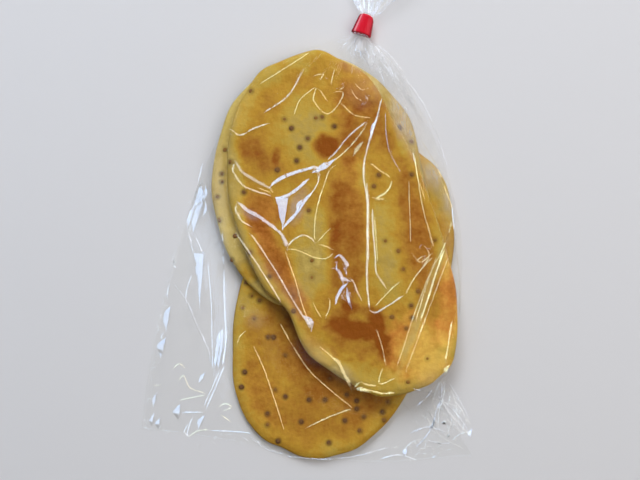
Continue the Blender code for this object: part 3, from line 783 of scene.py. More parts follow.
# ---- node materials ----
class Nodes:
    """Short way to add and join the nodes of one material."""

    def __init__(self, name):
        self.material = bpy.data.materials.new(name)
        self.material.use_nodes = True
        self.tree = self.material.node_tree
        self.tree.nodes.clear()

    def add(self, kind, inputs=None, **settings):
        """A node with its settings, and inputs given as values or as sockets to join."""
        node = self.tree.nodes.new(kind)
        for key, value in settings.items():
            setattr(node, key, value)
        for key, value in (inputs or {}).items():
            if isinstance(value, bpy.types.NodeSocket):
                self.tree.links.new(value, node.inputs[key])
            else:
                node.inputs[key].default_value = value
        return node

    def math(self, operation, *values, clamp=False):
        """One sum of two or three numbers or sockets."""
        inputs = dict(enumerate(values))
        return self.add("ShaderNodeMath", inputs, operation=operation, use_clamp=clamp).outputs[0]

    def uneven(self, *noise):
        """Noise round 0."""
        return self.math("SUBTRACT", self.noise(*noise), 0.5)

    def attribute(self, name):
        """An attribute of the mesh as a number."""
        return self.add("ShaderNodeAttribute", attribute_name=name).outputs["Fac"]

    def noise(self, scale, detail=2.0, stretch=(1.0, 1.0, 1.0)):
        """Noise on object coordinates, with scale counted in features for each metre."""
        coordinates = self.add("ShaderNodeTexCoord").outputs["Object"]
        mapped = self.add("ShaderNodeMapping", {"Vector": coordinates, "Scale": stretch}).outputs["Vector"]
        inputs = {"Vector": mapped, "Scale": scale, "Detail": detail, "Roughness": NOISE_ROUGHNESS}
        return self.add("ShaderNodeTexNoise", inputs).outputs["Fac"]

    def mix_colour(self, share, first, second):
        """Two colours mixed by a share."""
        return self.add("ShaderNodeMix", {0: share, 6: first, 7: second}, data_type="RGBA").outputs[2]

    def ramp(self, value, stops):
        """Colour ramp through stops of place and colour."""
        node = self.add("ShaderNodeValToRGB", {"Fac": value})
        elements = node.color_ramp.elements
        while len(elements) < len(stops):
            elements.new(1.0)
        for element, (place, colour) in zip(elements, stops):
            element.position = place
            element.color = (*colour, 1.0)
        return node.outputs["Color"]

    def bump(self, height, distance):
        """Bump from a height, with the distance in metres."""
        inputs = {"Height": height, "Distance": distance, "Strength": 1.0}
        return self.add("ShaderNodeBump", inputs).outputs["Normal"]

    def finish(self, shader):
        """Join the shader to the output and hand over the material."""
        output = self.add("ShaderNodeOutputMaterial")
        self.tree.links.new(shader, output.inputs["Surface"])
        return self.material


def dough_material(settings):
    """Fried dough: colour by how brown it is, mottled, with oily roughness and fine blisters."""
    nodes = Nodes("fried dough")
    level = nodes.attribute("browning")
    for scale, detail, shift in DOUGH_MOTTLES:
        level = nodes.math("MULTIPLY_ADD", nodes.uneven(scale, detail), shift, level)
    level = nodes.math("MULTIPLY", nodes.math("ADD", level, BROWNING_SHIFT), BROWNING_SCALE, clamp=True)
    plain, oily = (
        nodes.ramp(level, [(place, getattr(settings, name)) for name, place in stops])
        for stops in (PLAIN_STOPS, OILY_STOPS))
    warm = nodes.math("MULTIPLY", nodes.attribute("orange"), 1.0, clamp=True)
    halo = nodes.math("MULTIPLY", nodes.attribute("halo"), HALO_STRENGTH, clamp=True)
    colour = nodes.mix_colour(halo, nodes.mix_colour(warm, plain, oily), (*settings.seed, 1.0))
    blisters = nodes.math("MULTIPLY_ADD", nodes.noise(1500.0, 2.0), 0.25, nodes.noise(330.0, 3.0))
    shader = nodes.add("ShaderNodeBsdfPrincipled", {
        "Base Color": colour, "Roughness": nodes.math("MULTIPLY_ADD", nodes.noise(90.0, 3.0), 0.30, 0.40),
        "Specular IOR Level": 0.04, "Normal": nodes.bump(blisters, 0.0005)})
    return nodes.finish(shader.outputs[0])


def seed_material(settings):
    """Seeds: dark brown, towards dough colour where the dough covers them, paler in the middle."""
    nodes = Nodes("seed")
    share = nodes.math("MULTIPLY_ADD", nodes.uneven(900.0, 2.0), 0.5, nodes.attribute("cover"), clamp=True)
    colour = nodes.mix_colour(share, (*settings.seed, 1.0), (*settings.brown, 1.0))
    shader = nodes.add("ShaderNodeBsdfPrincipled", {
        "Base Color": colour, "Roughness": 0.6, "Specular IOR Level": 0.1,
        "Normal": nodes.bump(nodes.noise(1200.0), 0.0003)})
    return nodes.finish(shader.outputs[0])


def film_material(settings):
    """Clear film: see-through with a gloss that grows at a slant, and whitish where it is clouded and where a
    white layer is painted on as light: highlights on folds' lit sides and patches over shadows.
    """
    nodes = Nodes("clear film")
    facing = nodes.add("ShaderNodeLayerWeight", {"Blend": 0.5}).outputs["Facing"]
    slanted = nodes.math("POWER", facing, FACING_POWER)
    share = nodes.math("MULTIPLY_ADD", slanted, FACING_GLOSS, settings.gloss)
    share = nodes.math("MULTIPLY", share, nodes.attribute("sheen"))
    ripple = nodes.bump(nodes.noise(120.0, 3.0, ALONG_FILM), 0.0006)
    clear = nodes.add("ShaderNodeBsdfTransparent", {"Color": (*settings.tint, 1.0)})
    mirrored = nodes.mix_colour(nodes.attribute("warm"), (1.0, 1.0, 1.0, 1.0), (*settings.warm, 1.0))
    gloss = nodes.add("ShaderNodeBsdfAnisotropic", {
        "Color": mirrored, "Roughness": settings.roughness, "Normal": ripple})
    # white diffuse layer: clouded film, and painted highlights and light where its attribute lays it on folds
    # and over shadows
    white_diffuse = nodes.add("ShaderNodeBsdfDiffuse", {"Color": (*settings.haze, 1.0)})
    clouds = nodes.noise(160.0, 3.0, CLOUD_STRETCH)
    white_share = nodes.math("MULTIPLY", nodes.attribute("haze"), clouds, clamp=True)
    whitened_film = nodes.add("ShaderNodeMixShader", {0: white_share, 1: clear.outputs[0], 2: white_diffuse.outputs[0]})
    shader = nodes.add("ShaderNodeMixShader", {0: share, 1: whitened_film.outputs[0], 2: gloss.outputs[0]})
    return nodes.finish(shader.outputs[0])


def tape_material(settings):
    """Glossy red tape, darker where its turns lie doubled, with painted shade at both sides of the band, a
    painted pink highlight line and faint stretch marks along the neck.
    """
    nodes = Nodes("red tape")
    share = nodes.math("MULTIPLY", nodes.noise(260.0, 2.0, TAPE_STRETCH), 0.7, clamp=True)
    colour = nodes.mix_colour(share, (*settings.colour, 1.0), (*settings.shade, 1.0))
    # darker where the tape lies doubled, and painted shade at both sides of the band
    colour = nodes.mix_colour(nodes.attribute("doubled_and_shaded"), colour, (*settings.doubled_and_shaded, 1.0))
    # a painted highlight: a pale pink line along the band
    painted_highlight = nodes.math("MULTIPLY", nodes.attribute("painted_highlight"), PAINTED_HIGHLIGHT_STRENGTH)
    colour = nodes.mix_colour(painted_highlight, colour, (*settings.painted_highlight, 1.0))
    wrinkles = nodes.noise(700.0, 2.0, WRINKLE_STRETCH)
    shader = nodes.add("ShaderNodeBsdfPrincipled", {
        "Base Color": colour, "Roughness": 0.26, "Specular IOR Level": 0.12,
        "Normal": nodes.bump(wrinkles, 0.00025)})
    return nodes.finish(shader.outputs[0])


def floor_material(settings):
    """Matt pale floor with a faint unevenness."""
    nodes = Nodes("pale floor")
    low = [FLOOR_UNEVENNESS * part for part in settings.floor]
    colour = nodes.mix_colour(nodes.noise(6.0), (*low, 1.0), (*settings.floor, 1.0))
    shader = nodes.add("ShaderNodeBsdfPrincipled", {"Base Color": colour, "Roughness": 0.75})
    return nodes.finish(shader.outputs[0])


# ---- sheets ----
def outline_wave(sheet, angle):
    """Share by which a sheet's outline stands out at an angle: seeded waves and its bell-shaped bulges."""
    phases = np.random.default_rng(sheet.seed).uniform(0.0, 2.0 * pi, len(OUTLINE_WAVES))
    wave = sum(size * np.cos(count * angle + phase) for (count, size), phase in zip(OUTLINE_WAVES, phases))
    for bulge in BULGES[sheet.name]:
        away = np.mod(angle - bulge.angle + pi, 2.0 * pi) - pi
        wave = wave + bulge.share * np.exp(-(away / bulge.reach) ** 2)
    return wave


def sheet_radius(sheet, x, y):
    """Radius of a plan point on a sheet, 0 in the middle and 1 on its outline, and distance across."""
    turn = radians(sheet.heading)
    along = (x - sheet.x) * sin(turn) + (y - sheet.y) * cos(turn)
    across = (x - sheet.x) * cos(turn) - (y - sheet.y) * sin(turn)
    reach = along / sheet.half_length
    across = across - sheet.bend * reach ** 2
    part = across / (sheet.half_width * (1.0 + sheet.egg * reach))
    radius = (np.abs(reach) ** SHEET_ROUNDNESS + np.abs(part) ** SHEET_ROUNDNESS) ** (1.0 / SHEET_ROUNDNESS)
    return radius / (1.0 + outline_wave(sheet, np.arctan2(part, reach))), across


def sheet_under(sheet, x, y):
    """Height of a sheet's underside: dome in the middle, curl at the rim, lean and gentle warps."""
    radius, across = sheet_radius(sheet, x, y)
    height = sheet.base + sheet.dome * (1.0 - radius ** 2) + sheet.curl * radius ** 4 - sheet.lean * across
    return height + sheet.warp * layered_noise(x, y, WARPS, sheet.seed)


def sheet_grid(sheet):
    """Plan grid over a sheet, and the radius of its points.

    A square grid is drawn into a disc, p = s sqrt(1 - t^2 / 2) and q = t sqrt(1 - s^2 / 2), and the
    disc is stretched to the superellipse with its waves, egg shape, bend and heading.
    """
    s = np.linspace(-1.0, 1.0, SHEET_ROWS + 1)[:, None]
    t = np.linspace(-1.0, 1.0, SHEET_COLUMNS + 1)[None, :]
    p, q = s * np.sqrt(1.0 - t ** 2 / 2.0), t * np.sqrt(1.0 - s ** 2 / 2.0)
    radius, angle = np.hypot(p, q), np.arctan2(q, p)
    power = SHEET_ROUNDNESS
    stretch = (np.abs(np.cos(angle)) ** power + np.abs(np.sin(angle)) ** power) ** (-1.0 / power)
    stretch = stretch * (1.0 + outline_wave(sheet, angle) * radius ** 2)
    reach = radius * stretch * np.cos(angle)
    across = radius * stretch * np.sin(angle) * sheet.half_width * (1.0 + sheet.egg * reach)
    across = across + sheet.bend * reach ** 2
    along = reach * sheet.half_length
    turn = radians(sheet.heading)
    x = sheet.x + along * sin(turn) + across * cos(turn)
    y = sheet.y + along * cos(turn) - across * sin(turn)
    return x, y, radius


def seed_places(name):
    """Plan places and strengths of the seeds that show on a sheet."""
    placed = np.array(SEED_PLACES[name], dtype=float)
    x, y = spot(placed[:, 0], placed[:, 1])
    return x, y, placed[:, 2]


def rim_round(radius):
    """Share of the full thickness at a radius: full inside, a quarter round at the rim."""
    outward = np.clip((radius - RIM_START) / RIM_WIDTH, 0.0, 1.0)
    return np.sqrt(1.0 - RIM_FALL * outward ** 2)


def sheet_top(sheet, x, y, radius, thickness):
    """Height of a sheet's top: underside plus thickness, puffed by blisters, round at the rim."""
    puff = layered_noise(x, y, PUFFS, sheet.seed)
    lip = LIP_HEIGHT * between(LIP_RISE, LIP_FALL, radius)
    half = 0.5 * thickness
    return sheet_under(sheet, x, y) + half + (half + puff + lip) * rim_round(radius)


def paint_sheet(name, x, y, radius):
    """Browning, orange tint and seed halos of a sheet's shown side."""
    browning = BASE_BROWNING[name] + layered_noise(x, y, MOTTLES) + patch_sum(x, y, BROWNING[name])
    browning = browning - PALE_RIM[name] * smooth(*PALE_RIM_REACH, radius + layered_noise(x, y, RIM_WAVER))
    orange = patch_sum(x, y, ORANGE[name]) * (ORANGE_LEVEL + layered_noise(x, y, ORANGE_WAVER))
    halo = np.zeros_like(x)
    for seed_x, seed_y, strength in zip(*seed_places(name)):
        away = np.hypot(x - seed_x, y - seed_y) / SEED_RADIUS
        halo = np.maximum(halo, strength * (1.0 - smooth(*HALO_REACH, away)))
    return browning, orange, halo


def paint_back(sheet, x, y, radius):
    """Browning of a sheet's hidden side, seeded clouds that are pale at the rim, its tint and no halos."""
    clouds = layered_noise(x, y, BACK_CLOUDS, sheet.seed)
    browning = BACK_BROWNING + clouds - BACK_PALE_RIM * smooth(*BACK_RIM_REACH, radius)
    return browning, BACK_ORANGE * smooth(*BACK_ORANGE_CLOUDS, clouds), np.zeros_like(x)


def build_sheet(name, material, settings):
    """One fried sheet: top and underside grids that share their rim."""
    sheet = SHEETS[name]
    thickness = settings.thickness / MM
    x, y, radius = sheet_grid(sheet)
    top = sheet_top(sheet, x, y, radius, thickness)
    half = 0.5 * thickness
    under = np.maximum(sheet_under(sheet, x, y) + half - half * rim_round(radius), SHEET_LOWEST)
    inside = slice(1, -1), slice(1, -1)
    index = np.arange(x.size).reshape(x.shape)
    below = index.copy()
    below[inside] = x.size + np.arange(x[inside].size).reshape(x[inside].shape)
    top_points = np.stack([x, y, top], axis=-1).reshape(-1, 3)
    under_points = np.stack([x, y, under], axis=-1)[inside].reshape(-1, 3)
    attributes = {
        key: np.concatenate([front.ravel(), back[inside].ravel()])
        for key, front, back in zip(
            ("browning", "orange", "halo"), paint_sheet(name, x, y, radius), paint_back(sheet, x, y, radius))}
    faces = [grid_faces(index), grid_faces(below)[:, ::-1]]
    piece = new_piece(f"sheet_{name}", np.vstack([top_points, under_points]), faces, material, attributes)
    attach(piece, BODY)
    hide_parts("bag")


def seed_lattice(sheet):
    """Places for seeds all over a sheet: a square lattice, each place strayed by a seeded draw."""
    rng = np.random.default_rng(sheet.seed + SEED_PLACE_SEED)
    steps = np.arange(-SEED_REACH, SEED_REACH, SEED_LATTICE)
    x, y = (part.ravel() for part in np.meshgrid(steps, steps))
    x = sheet.x + x + rng.uniform(-SEED_STRAY, SEED_STRAY, x.shape)
    y = sheet.y + y + rng.uniform(-SEED_STRAY, SEED_STRAY, y.shape)
    kept = sheet_radius(sheet, x, y)[0] < SEED_INSIDE
    return x[kept], y[kept], rng.uniform(*SEED_STRENGTHS, int(kept.sum()))


def build_seeds(material, settings):
    """All seeds as one piece: low lens shapes, sunk half into both sides of the sheets."""
    radius = settings.seed_radius / MM
    thickness = settings.thickness / MM
    places = []
    for name, sheet in SHEETS.items():
        x, y, strength = seed_places(name)
        z = sheet_top(sheet, x, y, sheet_radius(sheet, x, y)[0], thickness) - SEED_SUNK_TOP
        places.append(np.stack([x, y, z, strength], axis=-1))
        x, y, strength = seed_lattice(sheet)
        z = np.maximum(sheet_under(sheet, x, y), SHEET_LOWEST) + SEED_SUNK_UNDER
        places.append(np.stack([x, y, z, strength], axis=-1))
    places = np.vstack(places)
    spread = np.random.default_rng(SEED_SIZE_SEED).uniform(*SEED_SIZES, len(places))
    size = SEED_SHARE * radius * spread * (SEED_FAINTEST + (1.0 - SEED_FAINTEST) * places[:, 3])
    rings = np.linspace(0.0, pi, SEED_RINGS + 2)[1:-1]
    turns = np.linspace(0.0, 2.0 * pi, SEED_SIDES, endpoint=False)
    out = np.outer(np.sin(rings), np.cos(turns)).ravel(), np.outer(np.sin(rings), np.sin(turns)).ravel()
    up = np.repeat(np.cos(rings), SEED_SIDES)
    unit = np.vstack([np.stack([*out, up], axis=-1), [[0.0, 0.0, 1.0], [0.0, 0.0, -1.0]]])
    scale = np.stack([size, size, SEED_FLATNESS * size], axis=-1)[:, None, :]
    points = (places[:, None, :3] + unit[None, :, :] * scale).reshape(-1, 3)
    ring = np.arange(SEED_RINGS * SEED_SIDES).reshape(SEED_RINGS, SEED_SIDES)
    closed = np.hstack([ring, ring[:, :1]])
    bands = np.concatenate([strip_faces(closed[i + 1], closed[i]) for i in range(SEED_RINGS - 1)])
    pole = np.full(SEED_SIDES, ring.size)
    caps = np.concatenate([
        np.stack([closed[0, :-1], closed[0, 1:], pole], axis=-1),
        np.stack([closed[-1, 1:], closed[-1, :-1], pole + 1], axis=-1)])
    offsets = (np.arange(len(places)) * len(unit))[:, None, None]
    faces = [(bands[None] + offsets).reshape(-1, 4), (caps[None] + offsets).reshape(-1, 3)]
    middle = SEED_PALE_MIDDLE * np.clip(unit[:, 2], 0.0, 1.0) ** SEED_MIDDLE_POWER
    cover = (SEED_COVER * (1.0 - places[:, 3]))[:, None] + middle[None, :]
    piece = new_piece("seeds", points, faces, material, {"cover": cover.ravel()})
    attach(piece, BODY)
    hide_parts("bag")


# ---- film ----
def curve_through(knots, points, places):
    """Points at places along a smooth curve: cubic pieces through the given points at their knots."""
    slopes = np.gradient(points, knots, axis=0)
    k = np.clip(np.searchsorted(knots, places, side="right") - 1, 0, len(knots) - 2)
    span = (knots[k + 1] - knots[k])[:, None]
    t = ((places - knots[k]) / (knots[k + 1] - knots[k]))[:, None]
    curve = (1.0 + 2.0 * t) * (1.0 - t) ** 2 * points[k] + t * (1.0 - t) ** 2 * span * slopes[k]
    return curve + t ** 2 * (3.0 - 2.0 * t) * points[k + 1] + t ** 2 * (t - 1.0) * span * slopes[k + 1]


def edge_curves(along):
    """Left and right edge of the bag at each share of its length, smooth through the stations."""
    knots = np.array([station.along for station in BAG_EDGES])
    points = np.array([station[1:] for station in BAG_EDGES])
    edges = curve_through(knots, points, along)
    return edges[:, :2], edges[:, 2:]


def film_plan(rows, columns):
    """Plan grid of the bag's body: rows from seam to neck, columns from edge to edge."""
    along = np.linspace(0.0, 1.0, rows + 1) ** SEAM_CROWDING
    left, right = edge_curves(along)
    rounding = smooth(ROUNDING_START, 1.0, along)[:, None]
    share = crowded_shares(columns, EDGE_CROWDING + (1.0 - EDGE_CROWDING) * rounding)
    x = left[:, 0:1] + share * (right[:, 0:1] - left[:, 0:1])
    y = left[:, 1:2] + share * (right[:, 1:2] - left[:, 1:2])
    skewed = np.clip(np.sin(pi * share ** SEAM_BOW_SKEW), 0.0, 1.0) ** SEAM_BOW_SKEW
    y = y - SEAM_BOW * skewed * (1.0 - smooth(0.0, SEAM_BOW_REACH, along))[:, None]
    return along, share, x, y


def neck_section(share, half_height):
    """Half-height of the flattened round neck at each share of its width."""
    arch = np.sqrt(np.clip(1.0 - (2.0 * share - 1.0) ** 2, 0.0, 1.0))
    return NECK_EDGE_HALF + (half_height - NECK_EDGE_HALF) * arch


def stack_height(x, y, thickness, clearance, drop):
    """Highest sheet top plus a clearance, falling to 0 between the two radii of the drop."""
    height = np.zeros_like(x)
    for sheet in SHEETS.values():
        top = sheet_under(sheet, x, y) + thickness + clearance
        height = np.maximum(height, top * (1.0 - smooth(*drop, sheet_radius(sheet, x, y)[0])))
    return height


def resting_heights(along, share, x, y, thickness):
    """Lowest heights of the film's top and the heights of its underside."""
    width = np.hypot(x[:, -1] - x[:, 0], y[:, -1] - y[:, 0])[:, None]
    from_edge = np.minimum(width * np.minimum(share, 1.0 - share), np.hypot(x - x[0], y - y[0]))
    wall = FILM_EDGE + WALL_HEIGHT * (1.0 - np.exp(-from_edge / WALL_RUN))
    lift = smooth(LIFT_START, 1.0, along)[:, None]
    middle = (1.0 - lift) * 0.5 * FILM_EDGE + lift * NECK_CENTRE_HEIGHT
    half = (1.0 - lift) * 0.5 * FILM_EDGE + lift * neck_section(share, NECK_HALF_HEIGHT)
    under = np.maximum(middle - half, 0.0)
    stack = stack_height(x, y, thickness, FILM_CLEARANCE, DRAPE_DROP)
    return np.maximum(np.minimum(stack, wall), middle + half), under


def finer(values, rows, columns):
    """Grid values carried over to a finer grid of the same shares."""
    row = np.linspace(0.0, 1.0, rows + 1)[:, None] * (values.shape[0] - 1)
    column = np.linspace(0.0, 1.0, columns + 1)[None, :] * (values.shape[1] - 1)
    return grid_sample(values, row, column)


def relaxed(top, resting, x, y, rounds):
    """Film heights over what they rest on: each free point takes the sagging mean of its neighbours.

    The mean is weighted by the inverse square of the spacing, no point goes below its resting height,
    and the outer rows and columns are held.
    """
    step_across = np.hypot(np.gradient(x, axis=1), np.gradient(y, axis=1))[1:-1, 1:-1]
    step_along = np.hypot(np.gradient(x, axis=0), np.gradient(y, axis=0))[1:-1, 1:-1]
    pull_across, pull_along = 1.0 / step_across ** 2, 1.0 / step_along ** 2
    total = 2.0 * (pull_across + pull_along)
    for _ in range(rounds):
        sideways = top[1:-1, :-2] + top[1:-1, 2:]
        endways = top[:-2, 1:-1] + top[2:, 1:-1]
        level = (pull_across * sideways + pull_along * endways - FILM_SAG) / total
        top[1:-1, 1:-1] = np.maximum(resting[1:-1, 1:-1], level)
    return top


def crinkle_creases():
    """Short seeded folds strayed about their paths, of random direction and length."""
    slope, lit, dark, *look = CRINKLE
    made = []
    for group in CRINKLES:
        rng = np.random.default_rng(group.seed)
        path = np.reshape(group.path, (-1, 2)).astype(float)
        place = rng.uniform(0.0, len(path) - 1.001, group.count)
        first = place.astype(int)
        centre = path[first] + (place - first)[:, None] * (path[first + 1] - path[first])
        centre = centre + rng.normal(0.0, 0.5 * group.stray, centre.shape)
        turn = rng.uniform(0.0, pi, group.count)
        half = 0.5 * group.length * rng.uniform(*CRINKLE_LENGTHS, group.count)
        step = np.stack([np.cos(turn), np.sin(turn)], axis=-1) * half[:, None]
        scales = rng.uniform(*CRINKLE_WIDTHS, group.count)
        made += [
            Crease(slope, lit * scale, dark * scale, *look, (*a, *b))
            for a, b, scale in zip(centre - step, centre + step, scales)]
    return made


def grid_sample(values, row, column):
    """Values of a grid at fractional rows and columns, mixed from the four corners round each."""
    low, left = (
        np.clip(place.astype(int), 0, count - 2) for place, count in zip((row, column), values.shape))
    s, t = row - low, column - left
    lower = values[low, left] * (1.0 - t) + values[low, left + 1] * t
    upper = values[low + 1, left] * (1.0 - t) + values[low + 1, left + 1] * t
    return lower * (1.0 - s) + upper * s


def grid_place(x, y, grid_x, grid_y):
    """Fractional row and column of plan points on a plan grid, found by Newton's steps."""
    rows, columns = grid_x.shape[0] - 1, grid_x.shape[1] - 1
    row = rows * (y - grid_y.min()) / (grid_y.max() - grid_y.min())
    column = np.full_like(x, 0.5 * columns)
    (x_rows, x_columns), (y_rows, y_columns) = np.gradient(grid_x), np.gradient(grid_y)
    for _ in range(PLACE_STEPS):
        miss_x = x - grid_sample(grid_x, row, column)
        miss_y = y - grid_sample(grid_y, row, column)
        x_row, x_column, y_row, y_column = (
            grid_sample(part, row, column) for part in (x_rows, x_columns, y_rows, y_columns))
        area = x_row * y_column - x_column * y_row
        row = np.clip(row + (miss_x * y_column - miss_y * x_column) / area, 0.0, rows)
        column = np.clip(column + (miss_y * x_row - miss_x * y_row) / area, 0.0, columns)
    return row, column


def fold_line(crease):
    """One fold in plan: crest, direction to its left, both widths, rise, left side's share and look.

    The crest is a smooth curve through the path. The widths swell and shrink a little by a seeded
    noise and run out to a point at both ends. The side that faces the lights gets the lit width.
    """
    path = np.stack(spot(*np.reshape(crease.path, (-1, 2)).astype(float).T), axis=-1)
    knots = np.concatenate([[0.0], np.cumsum(np.hypot(*np.diff(path, axis=0).T))])
    length = knots[-1]
    travelled = np.linspace(0.0, length, max(int(length / FOLD_STEP), 4) + 1)
    crest = curve_through(knots, path, travelled)
    heading = np.gradient(crest, travelled, axis=0)
    heading = heading / np.hypot(*heading.T)[:, None]
    aside = np.stack([-heading[:, 1], heading[:, 0]], axis=-1)
    share = smooth(-FLIP, FLIP, aside @ (LIT_X, LIT_Y))
    if crease.slope < 0.0:
        share = 1.0 - share
    ramp = FOLD_RAMP * (1.0 - FOLD_RAMP_WIDENING + FOLD_RAMP_WIDENING * crease.lit)
    ramp = min(ramp, FOLD_RAMP_SHARE * length)
    spindle = smooth(0.0, ramp, travelled) * smooth(0.0, ramp, length - travelled)
    wedge = smooth(0.0, WEDGE_RAMP, travelled) * (1.0 - travelled / length)
    ends = np.maximum(wedge if crease.wedge else spindle, FOLD_TIP)
    ends = ends * (1.0 + layered_noise(*crest.T, FOLD_WAVER))
    left = (crease.dark + (crease.lit - crease.dark) * share) * ends
    right = (crease.lit + (crease.dark - crease.lit) * share) * ends
    rise = crease.slope * crease.lit * ends
    look = np.tile((crease.sheen, crease.warm, crease.haze), (len(travelled), 1))
    return crest, aside, left, right, rise, share, look


def build_folds(material, settings, film):
    """The sharp folds of the film as one piece: a low ridge along each fold, its feet set in the film.

    A cross-section has three points: left foot, crest and right foot. The crest is as high above the
    foot on the lit side as the slope asks, and never below the film.
    """
    lines = [fold_line(crease) for crease in (*CREASES, *crinkle_creases())]
    counts = [len(line[0]) for line in lines]
    crest, aside, left, right, rise, share, look = (np.concatenate(part) for part in zip(*lines))
    rise = settings.fold_height * rise
    feet = crest + aside * left[:, None], crest - aside * right[:, None]
    grid_x, grid_y, top = film
    z_left, z_right, z_crest = (
        grid_sample(top, *grid_place(*place.T, grid_x, grid_y)) for place in (*feet, crest))
    least = z_crest + FOLD_LEAST_RISE * np.abs(rise) + FOLD_LIFT
    z_crest = np.maximum(share * z_left + (1.0 - share) * z_right + rise, least)
    section = np.stack([
        np.column_stack([feet[0], z_left - FOLD_SINK]), np.column_stack([crest, z_crest]),
        np.column_stack([feet[1], z_right - FOLD_SINK])], axis=1)
    index = np.arange(section.shape[0] * 3).reshape(-1, 3)
    starts = np.cumsum([0, *counts[:-1]])
    faces = [grid_faces(index[start:start + count]) for start, count in zip(starts, counts)]
    lit = np.stack([share, 1.0 - share], axis=-1)
    # the white layer on a fold is a painted highlight: full on its lit side, a share of it on the other side
    each = {
        "sheen": DARK_SHEEN + (look[:, :1] - DARK_SHEEN) * lit,
        "warm": np.broadcast_to(look[:, 1:2], lit.shape),
        "haze": look[:, 2:] * (DARK_SIDE_WHITE_LAYER + (1.0 - DARK_SIDE_WHITE_LAYER) * lit)}
    attributes = {
        key: np.concatenate([values[start:start + count - 1].ravel() for start, count in zip(starts, counts)])
        for key, values in each.items()}
    piece = new_piece("film_folds", section.reshape(-1, 3), faces, material, attributes, rounded=False)
    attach(piece, BODY)
    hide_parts("bag")


def film_top(thickness):
    """The film's body: relaxed over the sheets from coarse to fine, then pleated and softly dented.

    The pleats are cosines across the shoulder that grow to its middle and end at the neck.
    """
    top = None
    for rows, columns, rounds in FILM_LEVELS:
        along, share, x, y = film_plan(rows, columns)
        resting, under = resting_heights(along, share, x, y, thickness)
        top = resting.copy() if top is None else np.maximum(finer(top, rows, columns), resting)
        top[0], top[-1], top[:, 0], top[:, -1] = resting[0], resting[-1], resting[:, 0], resting[:, -1]
        top = relaxed(top, resting, x, y, rounds)
    arch = np.sin(pi * share)
    pleated = (smooth(SHOULDER_START, 1.0, along) * (1.0 - along) / (1.0 - SHOULDER_START))[:, None]
    waves = sum(height * np.cos(2.0 * pi * count * share + turn) for height, count, turn in SHOULDER_WAVES)
    top = top + SHOULDER_DEPTH * pleated * arch * waves
    from_edge = np.minimum(np.minimum(share, 1.0 - share) * BAG_WIDTH, np.hypot(x - x[0], y - y[0]))
    top = top + layered_noise(x, y, FILM_DENTS) * smooth(0.0, DENT_START, from_edge)
    least = stack_height(x, y, thickness, LEAST_CLEARANCE, LEAST_DROP)
    held = smooth(0.0, HELD_EDGE, np.minimum(share, 1.0 - share) * BAG_WIDTH)
    return x, y, np.maximum(top, least * held), under


def taper(distance):
    """Half-width and half-height of the neck at a distance from its lower end."""
    closed = np.clip(distance / NECK_LENGTH, 0.0, 1.0)
    half_width = NECK_HALF_WIDTH + (NECK_TOP_HALF_WIDTH - NECK_HALF_WIDTH) * closed
    half_height = NECK_HALF_HEIGHT + (NECK_TOP_HALF_HEIGHT - NECK_HALF_HEIGHT) * closed
    return half_width, half_height


def neck_place(distance, sideways):
    """Plan position at a distance along the neck's axis and a distance to its side."""
    turn = radians(NECK_HEADING)
    x = NECK_X + distance * sin(turn) + sideways * cos(turn)
    y = NECK_Y + distance * cos(turn) - sideways * sin(turn)
    return x, y


def coarse_back(index):
    """Faces of the underside: one face for each block of rows and columns.

    Inner blocks are quads. A block at the border also takes the border's own points, so that the
    underside closes with the fine side walls.
    """
    stride = BACK_STRIDE
    coarse = index[::stride, ::stride]
    faces = [grid_faces(coarse[1:-1, 1:-1])[:, ::-1]]
    rows, columns = index.shape

    def block(border, inner_first, inner_second):
        """Blocks along one border: its run of fine points, then two inner corners."""
        runs = np.stack([border[k:k + len(border) - stride:stride] for k in range(stride + 1)], axis=-1)
        return np.hstack([runs, inner_second[:, None], inner_first[:, None]])

    left = block(index[stride:rows - stride, 0], coarse[1:-2, 1], coarse[2:-1, 1])
    right = block(index[stride:rows - stride, -1], coarse[1:-2, -2], coarse[2:-1, -2])
    low = block(index[0, stride:columns - stride], coarse[1, 1:-2], coarse[1, 2:-1])
    high = block(index[-1, stride:columns - stride], coarse[-2, 1:-2], coarse[-2, 2:-1])
    faces += [left, right[:, ::-1], low[:, ::-1], high]
    runs = (
        np.concatenate([index[stride:0:-1, 0], index[0, :stride + 1], [coarse[1, 1]]]),
        np.concatenate([index[0, -stride - 1:], index[1:stride + 1, -1], [coarse[1, -2]]]),
        np.concatenate([index[-stride - 1:, -1], index[-1, -2:-stride - 2:-1], [coarse[-2, -2]]]),
        np.concatenate([index[-1, stride:0:-1], index[-1:-stride - 2:-1, 0], [coarse[-2, 1]]]),
    )
    faces += [run[::-1][None, :] for run in runs]
    return faces


def closed_skin(x, y, top, under, back):
    """Points and faces of a closed skin from a top grid and an underside grid."""
    index = np.arange(x.size).reshape(x.shape)
    below = index + x.size
    points = np.vstack([np.stack([x, y, z], axis=-1).reshape(-1, 3) for z in (top, under)])
    faces = [grid_faces(index), *back(below)]
    faces.append(strip_faces(index[0], below[0])[:, ::-1])
    faces.append(strip_faces(index[-1], below[-1]))
    faces.append(strip_faces(index[:, 0], below[:, 0]))
    faces.append(strip_faces(index[:, -1], below[:, -1])[:, ::-1])
    return points, faces


def without_loose(points, faces, attributes):
    """The same mesh without the points that no face uses."""
    used = np.zeros(len(points), dtype=bool)
    for part in faces:
        used[part.ravel()] = True
    renumbered = np.cumsum(used) - 1
    kept = {key: values[used] for key, values in attributes.items()}
    return points[used], [renumbered[part] for part in faces], kept


